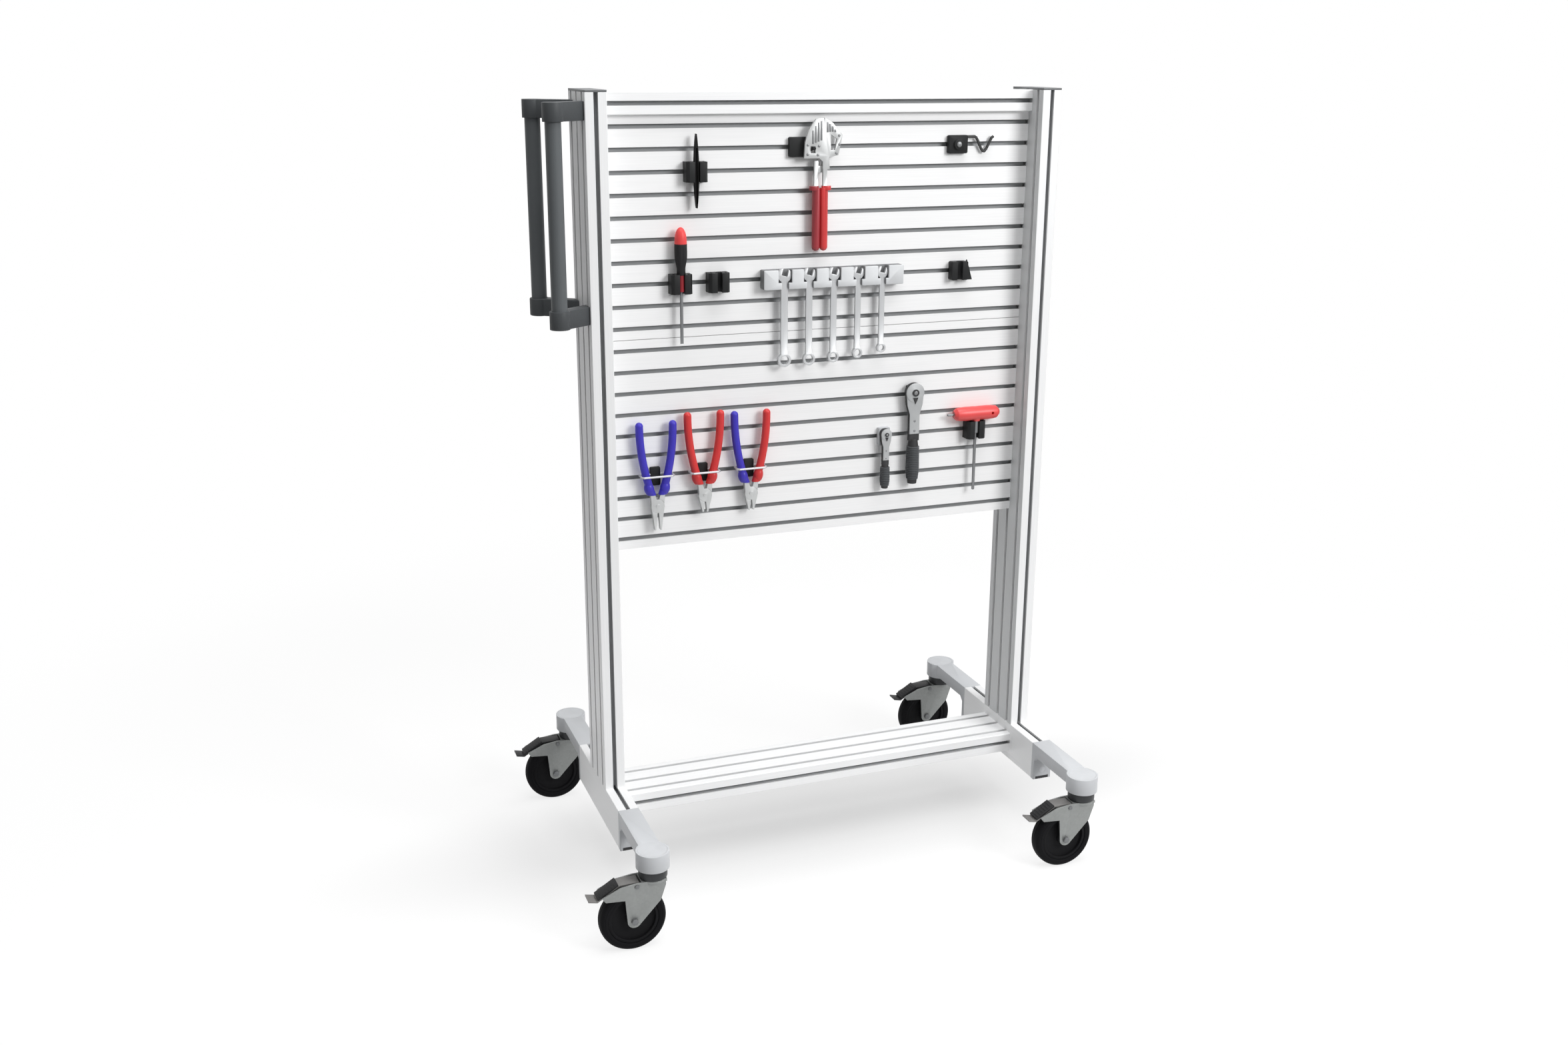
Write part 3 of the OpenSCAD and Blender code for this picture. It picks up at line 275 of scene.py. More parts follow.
def anodised(name, along, section, lip, colour, shaded_left=None):
    """Satin skin with lines along one axis. section maps an axis to (distance of the middle, half width).

    A left side at the x given last gets painted shade, a greyer colour that stands for shadow.
    """
    finish = Finish(name)
    axes = finish.axes()
    lines = finish.lines(DRAWN, along, DRAWN_ALONG)
    cloud = finish.noise(SKIN_CLOUDS, detail=FINE)
    depths = [half - abs(abs(axes[axis]) - middle) for axis, (middle, half) in section.items()]
    depth = depths[0] if len(depths) == 1 else depths[0].least(depths[1])
    # points deeper than the lips get a painted shade that stands for the slots' occlusion
    in_slot_shade = depth.step(lip - LIP_FADE, lip)
    skin = finish.tones(lines * DRAWN_SHARE + cloud * CLOUD_SHARE, colour, ANODISED_TONES)
    # painted shade on a left side that the panel keeps in shadow
    if shaded_left:
        side_shade = 1.0 - axes[X].step(shaded_left + SIDE_SHADE_DEPTH, shaded_left + LIP_FADE)
        skin = finish.blend(side_shade, skin, shade(PAINTED_SIDE_SHADE))
    return finish.set({
        "Base Color": finish.blend(in_slot_shade, skin, shade(PAINTED_SLOT_SHADE)),
        "Roughness": SKIN_ROUGH + lines * DRAWN_ROUGHER,
        "Metallic": 0.12,
        "Specular IOR Level": 0.3,
        "Normal": finish.bump(lines, DRAWN_DEPTH, EDGE_R),
    })


def middle_and_half(node, axis):
    low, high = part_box(node)
    return abs(low[axis] + high[axis]) / 2, (high[axis] - low[axis]) / 2


# %% Profiles and panels
PROFILES = {"left_post": Z, "right_post": Z, "top_beam": X, "bottom_beam": X, "left_foot": Y, "right_foot": Y}
PANELS = ("upper_panel", "lower_panel")
for node, along in PROFILES.items():
    across = {axis: middle_and_half(node, axis) for axis in (X, Y, Z) if axis != along}
    # the right post's left side, which faces the panel, gets painted shade
    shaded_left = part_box(node)[0].x if node == "right_post" else None
    paint(node, anodised(f"anodised_{node}", along, across, PROFILE_LIP, SATIN, shaded_left))
for node in PANELS:
    paint(node, anodised(f"anodised_{node}", X, {Y: middle_and_half(node, Y)}, PANEL_LIP, PANEL_SATIN))
print(len(PROFILES), "profiles and", len(PANELS), "panels finished")

# %% [markdown]
# ## Powder coat
# Handles, clamps, castings and the tweezers have a baked coat with a fine orange peel and faint clouds. Wear shows
# as a paler line on the edges. It could be painted by hand, but then every copy of a piece needs its own painting.
# A Bevel node gives the normal of a rounded edge, and where that differs from the true normal there is an edge.

# %% Powder coat
FINE_PEEL = (900.0, 0.04 * MM)
POWDER_CLOUDS, POWDER_TONES, POWDER_ROUGHER = 14.0, (0.92, 1.04), 0.1
POWDER_EDGE = 0.8 * MM
WEAR_TURN, WEAR_FLECKS, WEAR_TONE = (0.02, 0.25), 120.0, 1.6


def edge_wear(finish, radius):
    """1 on edges: where the rounded normal turns away from the true one."""
    soft = finish.soft_normal(radius)
    true = finish.node("ShaderNodeNewGeometry", {}, {}, "True Normal")
    same = finish.node("ShaderNodeVectorMath", {"operation": "DOT_PRODUCT"}, {0: soft, 1: true}, "Value")
    return (1.0 - same).step(*WEAR_TURN)


def powder(name, colour, rough, wear, peel=FINE_PEEL, shine=0.5):
    """Powder coat: orange peel of a scale and depth, faint clouds and pale edges."""
    finish = Finish(name)
    scale, depth = peel
    cloud = finish.noise(POWDER_CLOUDS)
    base = finish.tones(cloud, colour, POWDER_TONES)
    worn = edge_wear(finish, POWDER_EDGE) * finish.noise(WEAR_FLECKS) * wear
    return finish.set({
        "Base Color": finish.blend(worn, base, times(colour, WEAR_TONE)),
        "Roughness": rough + cloud * POWDER_ROUGHER,
        "Specular IOR Level": shine,
        "Normal": finish.bump(finish.noise(scale, detail=FINEST), depth, POWDER_EDGE),
    })


# %% [markdown]
# ## Zinc plate
# Brackets, screws, forks and pedals are plated steel. Zinc sets in small flat crystals, each a little lighter or
# darker than the next. The cells of a Voronoi texture have that look, and noise softens them.

# %% Zinc plate
SPANGLES, PLATE_CLOUDS, PLATE_GRAIN = 260.0, 60.0, 500.0
SPANGLE_SHARE, PLATE_CLOUD_SHARE = 0.35, 0.65
PLATE_TONES, PLATE_ROUGHER, PLATE_DEPTH = (0.84, 1.12), 0.14, 0.015 * MM


def plated(name, colour, rough=0.34, metallic=0.75):
    """Zinc plate: small spangles under a soft cloud."""
    finish = Finish(name)
    spangle = finish.node("ShaderNodeTexVoronoi", {}, {"Vector": finish.place, "Scale": SPANGLES}, "Color")
    cloud = finish.noise(PLATE_CLOUDS)
    grey = finish.node("ShaderNodeRGBToBW", {}, {"Color": spangle})
    return finish.set({
        "Base Color": finish.tones(grey * SPANGLE_SHARE + cloud * PLATE_CLOUD_SHARE, colour, PLATE_TONES),
        "Roughness": rough + cloud * PLATE_ROUGHER,
        "Metallic": metallic,
        "Normal": finish.bump(finish.noise(PLATE_GRAIN), PLATE_DEPTH, EDGE_R),
    })


# %% [markdown]
# ## Moulded plastic and rubber
# A mould is spark-eroded, so plastic leaves it with a fine dull grain, and its tone changes a little from place to
# place. The grain is too fine for geometry, so it is relief in the finish.

# %% Moulded plastic and rubber
MOULD_GRAIN, GRAIN_DEPTH = 1500.0, 0.05 * MM
MOULD_CLOUDS, MOULD_TONES, MOULD_ROUGHER = 25.0, (0.85, 1.15), 0.12


def moulded(name, colour, rough=0.42, depth=GRAIN_DEPTH, shine=0.5):
    """Moulded plastic or rubber: spark-eroded grain and a slight change of tone."""
    finish = Finish(name)
    grain = finish.noise(MOULD_GRAIN, detail=FINE)
    cloud = finish.noise(MOULD_CLOUDS)
    return finish.set({
        "Base Color": finish.tones(cloud, colour, MOULD_TONES),
        "Roughness": rough + grain * MOULD_ROUGHER,
        "Specular IOR Level": shine,
        "Normal": finish.bump(grain, depth, EDGE_R),
    })


# %% [markdown]
# ## Ground steel
# Spanners and wires keep the fine lines of the grinding belt along their length. They are made as the lines of
# the profiles are. The wire hook on the right is dipped black, while the loops of the pliers are bare, so the
# finish of the wires turns black to the right of a given place.

# %% Ground steel
GROUND, GROUND_ALONG, GROUND_DEPTH = 900.0, 0.03, 0.02 * MM
GROUND_TONES, GROUND_ROUGHER = (0.85, 1.0), 0.18
DIP_FADE, DIP_BLACK = 1.0 * MM, 0.012


def brushed(name, colour, along, rough, metallic, dipped=None):
    """Ground steel: fine lines along one axis. To the right of dipped it has a black skin."""
    finish = Finish(name)
    lines = finish.lines(GROUND, along, GROUND_ALONG)
    colour = finish.tones(lines, colour, GROUND_TONES)
    if dipped:
        skin = finish.axes()[X].step(dipped - DIP_FADE, dipped + DIP_FADE)
        colour = finish.blend(skin, colour, shade(DIP_BLACK))
        metallic = (1.0 - skin) * metallic
    return finish.set({
        "Base Color": colour,
        "Roughness": rough + lines * GROUND_ROUGHER,
        "Metallic": metallic,
        "Normal": finish.bump(lines, GROUND_DEPTH, EDGE_R),
    })


# %% [markdown]
# ## The finish of each solid
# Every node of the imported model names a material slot. One table gives each slot its finish, and three more
# finishes are for pieces that differ from the rest of their slot: axles, handle clamps and the rear pedals.

# %% Table of finishes
CAST_COLOUR = (0.60, 0.615, 0.635)
CLIP_COLOUR = (0.013, 0.0135, 0.014)
HOOK_FROM = 0.2
FINISHES = {
    "cap_grey": moulded("cap_grey", (0.15, 0.155, 0.16)),
    "bracket_steel": plated("bracket_steel", (0.55, 0.56, 0.57)),
    "screw_steel": plated("screw_steel", (0.50, 0.51, 0.52), 0.28),
    "handle_grey": powder("handle_grey", (0.118, 0.128, 0.134), 0.42, 0.2, (420.0, 0.10 * MM), 0.25),
    "cast_grey": powder("cast_grey", CAST_COLOUR, 0.42, 0.3, shine=0.25),
    "black_plastic": moulded("black_plastic", (0.028, 0.03, 0.032), shine=0.3),
    "fork_steel": plated("fork_steel", (0.25, 0.26, 0.255), 0.36, 0.35),
    "wheel_black": moulded("wheel_black", (0.010, 0.010, 0.011), 0.5, shine=0.06),
    "tyre_rubber": moulded("tyre_rubber", (0.008, 0.008, 0.009), 0.6, 0.08 * MM, 0.06),
    "pedal_black": plated("pedal_steel", (0.19, 0.185, 0.18), 0.38, 0.4),
    "clip_black": moulded("clip_black", CLIP_COLOUR, 0.45, shine=0.2),
    "wire_steel": brushed("wire_steel", (0.56, 0.56, 0.58), X, 0.34, 0.5, HOOK_FROM),
    "tool_steel": brushed("tool_steel", (0.58, 0.59, 0.60), Z, 0.24, 0.6),
    "tweezers_black": powder("tweezers_black", (0.006, 0.006, 0.006), 0.45, 0.1, shine=0.12),
}
for node, slot in SLOT_OF.items():
    if slot in FINISHES:
        paint(node, FINISHES[slot])
axle_steel = plated("axle_steel", (0.16, 0.165, 0.17), 0.4, 0.4)
clamp_grey = powder("clamp_grey", (0.062, 0.067, 0.071), 0.45, 0.2, (300.0, 0.18 * MM), 0.25)
black_pedal = moulded("black_pedal", (0.014, 0.014, 0.015), 0.45, shine=0.3)
print(len(FINISHES), "slots finished")

# %% [markdown]
# ## Tools of two or three materials
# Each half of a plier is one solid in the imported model, but a real one is steel with dipped grips. The solid could be
# cut in two, but the steel ends at a known height, so one finish can hold several looks in zones along the tool.
# Object coordinates move with a piece, so a zone stays on its tool when the tool is lifted off.

# %% Zoned finishes
RED = {"colour": (0.66, 0.046, 0.046), "rough": 0.28, "metal": 0.0}
LIGHT_RED = {"colour": (0.80, 0.075, 0.075), "rough": 0.32, "metal": 0.0}
DARK_RED = {"colour": (0.34, 0.030, 0.040), "rough": 0.32, "metal": 0.0}
BLUE = {"colour": (0.055, 0.042, 0.47), "rough": 0.28, "metal": 0.0}
JAW_STEEL = {"colour": (0.52, 0.53, 0.53), "rough": 0.3, "metal": 0.5}
SATIN_STEEL = {"colour": (0.42, 0.43, 0.435), "rough": 0.36, "metal": 0.35}
DARK_STEEL = {"colour": (0.20, 0.205, 0.21), "rough": 0.3, "metal": 0.6}
# painted shade for a ratchet's body behind its face plate
PAINTED_BODY_SHADE = {"colour": (0.010, 0.010, 0.011), "rough": 0.55, "metal": 0.0}
BLACK_GRIP = {"colour": (0.008, 0.008, 0.009), "rough": 0.55, "metal": 0.0}
CAST = {"colour": CAST_COLOUR, "rough": 0.42, "metal": 0.0}
CLIP_BLACK = {"colour": CLIP_COLOUR, "rough": 0.5, "metal": 0.0}
BLOCK_GREY = {"colour": (0.50, 0.515, 0.53), "rough": 0.45, "metal": 0.0}
RACK_GREY = {"colour": (0.70, 0.715, 0.73), "rough": 0.42, "metal": 0.0}
NOTCH_SHADE = {"colour": (0.16, 0.165, 0.17), "rough": 0.5, "metal": 0.0}
ZONE_EDGE = 0.3 * MM
ZONE_GRAIN, ZONE_ALONG, ZONE_DEPTH = 700.0, 0.08, 0.03 * MM
ZONE_CLOUDS, ZONE_TONES, ZONE_ROUGHER = 40.0, (0.9, 1.08), 0.12
FAR = 9.0


def zoned(name, lowest, *zones, patches=(), shine=0.5):
    """Looks from the bottom up: each zone is (height above the floor, look). A patch is (axis, low, high, look)."""
    finish = Finish(name)
    axes = finish.axes()
    masks = [(axes[Z].step(level - ZONE_EDGE, level + ZONE_EDGE), look) for level, look in zones]
    for axis, low, high, look in patches:
        above = axes[axis].step(low - ZONE_EDGE, low + ZONE_EDGE)
        masks.append((above * (1.0 - axes[axis].step(high - ZONE_EDGE, high + ZONE_EDGE)), look))
    grain = finish.lines(ZONE_GRAIN, Z, ZONE_ALONG)
    cloud = finish.noise(ZONE_CLOUDS)
    colour = finish.tones(cloud, lowest["colour"], ZONE_TONES)
    rough, metal = lowest["rough"], lowest["metal"]
    for mask, look in masks:
        colour = finish.blend(mask, colour, finish.tones(cloud, look["colour"], ZONE_TONES))
        rough = rough + mask * (look["rough"] - rough)
        metal = metal + mask * (look["metal"] - metal)
    return finish.set({
        "Base Color": colour,
        "Roughness": rough + grain * ZONE_ROUGHER,
        "Metallic": metal,
        "Specular IOR Level": shine,
        "Normal": finish.bump(grain, ZONE_DEPTH, EDGE_R),
    })


# %% [markdown]
# The caps on the castor arms have the grey of the castings, and the plugs over the arms' screws are black. Both are
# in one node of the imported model. The caps sit higher, so one height parts the two looks.

# %% Caps and plugs of the castor arms
PLUG_TOP = 119.0 * MM
paint("arm_caps", zoned("arm_caps_and_plugs", BLACK_GRIP, (PLUG_TOP, CAST)))
print("plugs end", round(PLUG_TOP / MM), "mm above the floor")

# %% [markdown]
# ## Rounded copies of solids
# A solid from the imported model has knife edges, and a real casting or moulding hasn't. A copy of its mesh is
# merged, since it comes as loose triangles, its flat faces are joined, and the edges that turn by more than 35
# degrees are bevelled. Bevel stops all of its edges at the width that suits the tightest one, so each solid of a
# copy is bevelled by itself. The copy then stands for the solid.

# %% Pieces that stand for solids
MERGE = 1e-6
FLAT_TURN = math.radians(0.4)
SHARP_TURN = math.radians(35.0)


def piece(name, shape, body, finish, stands_for=()):
    """Make an object from a bmesh and let it ride on a body."""
    mesh = bpy.data.meshes.new(name)
    shape.to_mesh(mesh)
    shape.free()
    mesh.materials.append(finish)
    mesh.shade_smooth()
    mesh.set_sharp_from_angle(angle=SHARP_TURN)
    made = bpy.data.objects.new(name, mesh)
    bpy.context.scene.collection.objects.link(made)
    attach(made, body)
    if stands_for:
        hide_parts(*stands_for)
    return made


def separate_solids(shape):
    """Groups of vertices that hang together."""
    left = set(shape.verts)
    groups = []
    while left:
        reached = [left.pop()]
        for vert in reached:
            for edge in vert.link_edges:
                other = edge.other_vert(vert)
                if other in left:
                    left.remove(other)
                    reached.append(other)
        groups.append(reached)
    return groups


def rounded(node, width, finish=None, keep=None):
    """A copy of a node with rounded edges. keep chooses the solids that stay, from their vertices."""
    shape = bmesh.new()
    shape.from_mesh(NODES[node].data)
    bmesh.ops.remove_doubles(shape, verts=shape.verts, dist=MERGE)
    bmesh.ops.dissolve_limit(shape, angle_limit=FLAT_TURN, verts=shape.verts, edges=shape.edges)
    for solid in separate_solids(shape):
        if keep and not keep(solid):
            bmesh.ops.delete(shape, geom=solid, context="VERTS")
            continue
        edges = {edge for vert in solid for edge in vert.link_edges
                 if edge.is_manifold and edge.calc_face_angle() > SHARP_TURN}
        bmesh.ops.bevel(shape, geom=list(edges), affect="EDGES", offset_type="OFFSET", offset=width, segments=2,
                        profile=0.5, material=-1, clamp_overlap=True)
    slot = SLOT_OF[node]
    return piece(f"{node}_rounded", shape, NODES[node]["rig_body"], finish or FINISHES[slot], [node])


# %% [markdown]
# Castings get wide rounds, mouldings narrower ones, and bent sheet and forged tools hardly any. One table holds the
# widths in millimetres, and a second the pieces whose finish isn't that of their slot.

# %% Castings, mouldings and spanners
SPANNERS = 5
EDGE_WIDTHS = {"castor_arms": 2.5, "post_caps": 1.0, "castor_heads": 1.0,
               "spring_clips": 1.0, "panel_brackets": 0.5, "tweezers": 0.6}
for corner in CORNERS:
    EDGE_WIDTHS.update({f"{corner}_fork": 0.7, f"{corner}_hub": 0.8})
for number in range(1, SPANNERS + 1):
    EDGE_WIDTHS[f"spanner_{number}"] = 0.8
for corner in CORNERS:
    EDGE_WIDTHS.update({f"{corner}_axle": 0.4, f"{corner}_pedal": 0.8})
EDGE_WIDTHS["handle_brackets"] = 2.5
OWN_FINISH = {"handle_brackets": clamp_grey, "rear_left_pedal": black_pedal, "rear_right_pedal": black_pedal}
OWN_FINISH.update({f"{corner}_axle": axle_steel for corner in CORNERS})
for node, width in EDGE_WIDTHS.items():
    rounded(node, width * MM, OWN_FINISH.get(node))
print(len(EDGE_WIDTHS), "nodes rounded")

# %% [markdown]
# The holder blocks are black, apart from the grey one of the small ratchet. The spanner rack is pale in front, and
# the walls of its notches lie in shade. Both have zones: the blocks from left to right, the rack from front to
# back.

# %% Holder blocks and spanner rack
HOLDER_EDGE = 0.8 * MM
SMALL_RATCHET_BLOCK = (115.0 * MM, 147.0 * MM)
NOTCH_FROM = 3.0 * MM
rounded("holder_blocks", HOLDER_EDGE, zoned("blocks_black_and_grey", CLIP_BLACK, shine=0.2,
                                            patches=[(X, *SMALL_RATCHET_BLOCK, BLOCK_GREY)]))
rack_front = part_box("spanner_rack")[0].y
rounded("spanner_rack", HOLDER_EDGE, zoned("rack_face_and_notches", RACK_GREY,
                                           patches=[(Y, rack_front + NOTCH_FROM, FAR, NOTCH_SHADE)]))
print("rack face at", round(rack_front / MM, 1), "mm")

# %% [markdown]
# ## Turned and moulded details
# Many small pieces are round: a rivet, a screw's head, a moulded grip, a tyre. The section of such a piece is drawn
# once as (radius, place along the axis) and spun about its axis. Flat bars and pads are blocks with bevelled edges.

# %% Spun pieces and slabs
RIVET_CURVE = ((0.0, 1.0), (0.5, 0.92), (0.85, 0.6), (1.0, 0.0))
RIVET_SUNK = 0.3
RIVET_STEPS = 24


def spun(section, along, steps, closed=False):
    """Spin a section in millimetres about an axis through the origin. Both ends of an open one are on the axis."""
    shape = bmesh.new()
    along = Vector(along)
    out = along.orthogonal().normalized()
    row = [shape.verts.new((out * radius + along * place) * MM) for radius, place in section]
    ends = row[1:] + row[:1] if closed else row[1:]
    edges = [shape.edges.new(pair) for pair in zip(row, ends)]
    bmesh.ops.spin(shape, geom=row + edges, cent=(0, 0, 0), axis=along, angle=math.tau, steps=steps, use_merge=True)
    bmesh.ops.remove_doubles(shape, verts=shape.verts, dist=MERGE)
    bmesh.ops.recalc_face_normals(shape, faces=shape.faces)
    return shape


def move(shape, place):
    bmesh.ops.translate(shape, vec=place, verts=shape.verts)
    return shape


def add(shape, other):
    """Put one bmesh into another and free it."""
    mesh = bpy.data.meshes.new("part")
    other.to_mesh(mesh)
    other.free()
    shape.from_mesh(mesh)
    bpy.data.meshes.remove(mesh)


def slab(shape, size, middle, edge):
    """Add a block with rounded edges."""
    made = bmesh.ops.create_cube(shape, size=1.0)["verts"]
    bmesh.ops.scale(shape, vec=size, verts=made)
    bmesh.ops.translate(shape, vec=middle, verts=made)
    edges = {edge_of for vert in made for edge_of in vert.link_edges}
    bmesh.ops.bevel(shape, geom=list(edges), affect="EDGES", offset_type="OFFSET", offset=edge, segments=3,
                    profile=0.5, material=-1)


def dome(radius, height):
    """A low rivet head that faces -Y, sunk a little into what carries it."""
    curve = [(share * radius, -rise * height) for share, rise in RIVET_CURVE]
    return spun(curve + [(radius, RIVET_SUNK), (0, RIVET_SUNK)], (0, 1, 0), RIVET_STEPS)


# %% [markdown]
# ## Pliers
# A plier is forged steel with dipped grips, and its two halves may have different colours. The grips end above the
# rivet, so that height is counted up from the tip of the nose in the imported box.

# %% Pliers
PLIER_EDGE = 0.8 * MM
STEEL_ABOVE_RIVET = 22.0 * MM
NOSE = {"long_nose": (47.0 * MM, BLUE, BLUE), "cutter": (33.0 * MM, RED, RED), "plier": (33.0 * MM, BLUE, RED)}
for tool, (nose, left_grip, right_grip) in NOSE.items():
    grip_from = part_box(f"{tool}_left")[0].z + nose + STEEL_ABOVE_RIVET
    for side, grip in (("left", left_grip), ("right", right_grip)):
        node = f"{tool}_{side}"
        rounded(node, PLIER_EDGE, zoned(f"{node}_steel_and_grip", JAW_STEEL, (grip_from, grip), shine=0.3))
print(len(NOSE), "pliers finished")

# %% [markdown]
# The crimping plier has a set of dies in each jaw, held by rivets. Each die is a narrow bar, and the bars stand side
# by side on the jaw's face. Relief in the finish would vanish from the side, so they are small blocks and domes.
# Places are millimetres from the middle of the plier's holder slot.

# %% Crimping plier
CRIMPER_EDGE = 0.7 * MM
CRIMPER_HILT = 119.6 * MM
JAW_REACH, JAW_TOP, TWEEZERS_HALF = 41.0 * MM, 52.0 * MM, 5.0 * MM
FACE = {"left": -5.15, "right": 0.15}
DIE_W, DIE_T, DIE_EDGE = 3.6, 1.8, 0.5 * MM
DIES = {"left": ((-24, 6, 30), (-18.5, 8, 38), (-13, 10, 44), (-7.5, 12, 47)),
        "right": ((7, 26, 44), (12, 27, 41), (17, 27, 37), (22, 26, 31))}
RIVET_R, RIVET_RISE = 2.6, 1.2
RIVETS = {"left": ((-34, -13), (-34, 4), (-14, -14), (-12, 2)), "right": ((30, 20), (25, -12), (31, 4))}
die_steel = plated("die_steel", (0.22, 0.225, 0.23), 0.34, 0.5)
low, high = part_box("crimper_left")
holder_slot = Vector((low.x + JAW_REACH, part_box("tweezers")[0].y + TWEEZERS_HALF, high.z - JAW_TOP))
# the right half's grip takes a darker copy of the red: painted shade on that grip
for side, grip in (("left", RED), ("right", DARK_RED)):
    node = f"crimper_{side}"
    jaw_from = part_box(node)[0].z + CRIMPER_HILT
    rounded(node, CRIMPER_EDGE, zoned(f"{node}_grip_and_jaw", grip, (jaw_from, JAW_STEEL)))
    dies = bmesh.new()
    for x, foot, end in DIES[side]:
        size = Vector((DIE_W, DIE_T, end - foot)) * MM
        slab(dies, size, Vector((x, FACE[side], (foot + end) / 2)) * MM, DIE_EDGE)
    for x, z in RIVETS[side]:
        add(dies, move(dome(RIVET_R, RIVET_RISE), Vector((x, FACE[side], z)) * MM))
    piece(f"{node}_dies", move(dies, holder_slot), NODES[node]["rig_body"], die_steel)
print(sum(len(bars) for bars in DIES.values()), "dies on the crimping plier")

# %% [markdown]
# ## Drivers
# A screwdriver's handle is moulded in two colours, and its black grip has eight flutes for the fingers. Cutting
# flutes with other solids leaves a ragged mesh. Instead, the handle is spun, and then the points of the grip are
# drawn in towards the axis in eight places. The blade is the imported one.

# %% Screwdriver
DRIVER_DOME, GRIP_END, FERRULE = 30.0 * MM, 86.8 * MM, 116.8 * MM
HANDLE = ((0, -78.8), (3.05, -78.8), (3.05, -116.8), (6.1, -116.8), (6.5, -116.4), (6.5, -87), (7.6, -85.4),
          (8, -84.6), (8, -74), (8.6, -70), (10.2, -62), (11.2, -56), (11.5, -50), (11.5, -42), (11.5, -35),
          (11.5, -31), (11.3, -30.2), (11.3, -29.6), (11.3, -26), (10.9, -20), (10.1, -14), (8.6, -8.5), (6.4, -4),
          (3.6, -1.2), (1.6, -0.25), (0, 0))
HANDLE_STEPS = 64
FLUTES, FLUTE_DEPTH = 8, 0.075
FLUTED = (-69 * MM, -34 * MM)
BLADE_R, BLADE_EDGE = 4.0 * MM, 0.3 * MM
low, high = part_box("screwdriver")
crown = Vector(((low.x + high.x) / 2, (low.y + high.y) / 2, high.z))
driver_finish = zoned("driver_blade_and_grip", DARK_STEEL, (crown.z - FERRULE, DARK_RED),
                      (crown.z - GRIP_END, BLACK_GRIP), (crown.z - DRIVER_DOME, LIGHT_RED), shine=0.25)
rounded("screwdriver", BLADE_EDGE, driver_finish,
        lambda solid: all(abs(vert.co.x - crown.x) < BLADE_R for vert in solid))
handle = spun(HANDLE, (0, 0, 1), HANDLE_STEPS)
for vert in handle.verts:
    if FLUTED[0] < vert.co.z < FLUTED[1]:
        turn = math.atan2(vert.co.y, vert.co.x)
        vert.co.xy *= 1.0 - FLUTE_DEPTH * max(0.0, math.cos(FLUTES * turn))
piece("screwdriver_handle", move(handle, crown), "screwdriver_tool", driver_finish)
print("screwdriver", round((high.z - low.z) / MM), "mm long")

# %% [markdown]
# The grip of the T-handle driver is thickest in the middle. The rounded copy of the solid has few points between its
# ends, so it is cut across in six places, and then every point of the grip is drawn in towards the grip's axis, the
# more the nearer it is to an end. The short steel end on the left is no part of the grip and stays.

# %% T-handle driver
T_EDGE = 1.5 * MM
T_GRIP, T_STUB = 31.0 * MM, 14.0 * MM
T_TAPER, T_CURVE = 0.3, 3
T_CUTS = (-0.85, -0.7, -0.5, 0.5, 0.7, 0.85)
GRIP_ENDS = 1.01
low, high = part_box("t_driver")
grip_foot, grip_left = high.z - T_GRIP, low.x + T_STUB
t_driver = rounded("t_driver", T_EDGE, zoned("t_driver_shank_and_grip", DARK_STEEL, (grip_foot, LIGHT_RED),
                                             patches=[(X, -FAR, grip_left, DARK_STEEL)]))
middle = Vector(((grip_left + high.x) / 2, (low.y + high.y) / 2, high.z - T_GRIP / 2))
half = high.x - middle.x
shape = bmesh.new()
shape.from_mesh(t_driver.data)
for share in T_CUTS:
    bmesh.ops.bisect_plane(shape, geom=shape.verts[:] + shape.edges[:] + shape.faces[:], dist=MERGE,
                           plane_co=middle + Vector((share * half, 0, 0)), plane_no=(1, 0, 0))
for vert in shape.verts:
    share = abs(vert.co.x - middle.x) / half
    if vert.co.z > grip_foot and share < GRIP_ENDS:
        vert.co.yz = middle.yz + (vert.co.yz - middle.yz) * (1.0 - T_TAPER * share ** T_CURVE)
shape.to_mesh(t_driver.data)
shape.free()
print("T-handle grip", round(2 * half / MM), "mm long")

# %% [markdown]
# ## Ratchets
# A ratchet has a bright face plate on a body that is coloured nearly black as painted shade, a black button over its
# drive and a lever below that. Its moulded grip has rings. Rings in the finish would leave a smooth outline, so a
# sleeve is spun over the imported grip. The section of the sleeve follows the grip and steps out at each ring.

# %% Ringed sleeves
RING, RING_GAP, RING_HIGH, RING_SLOPE = 2.2, 1.4, 1.4, 0.4
GRIP_SHAPE = ((0.0, 0.38), (0.3, 0.5), (0.8, 0.46), (1.0, 0.36))
SLEEVE_FROM, SLEEVE_TO, SLEEVE_CORE = 0.1, 0.84, 0.3
SLEEVE_OVER = 0.3
SLEEVE_STEPS = 40


def grip_radius(share, width):
    """Radius of a ratchet's grip at a share of its length."""
    for (low_at, low_r), (high_at, high_r) in zip(GRIP_SHAPE, GRIP_SHAPE[1:]):
        if share <= high_at:
            return width * (low_r + (high_r - low_r) * (share - low_at) / (high_at - low_at))


def ringed_sleeve(length, width):
    outer = []
    place = SLEEVE_FROM * length
    while place + RING < SLEEVE_TO * length:
        foot = grip_radius(place / length, width) + SLEEVE_OVER
        crest = foot + RING_HIGH
        outer += [(foot, place), (crest, place + RING_SLOPE),
                  (crest, place + RING - RING_SLOPE), (foot, place + RING)]
        place += RING + RING_GAP
    core = SLEEVE_CORE * width
    return spun(outer + [(core, outer[-1][1]), (core, outer[0][1])], (0, 0, 1), SLEEVE_STEPS, closed=True)
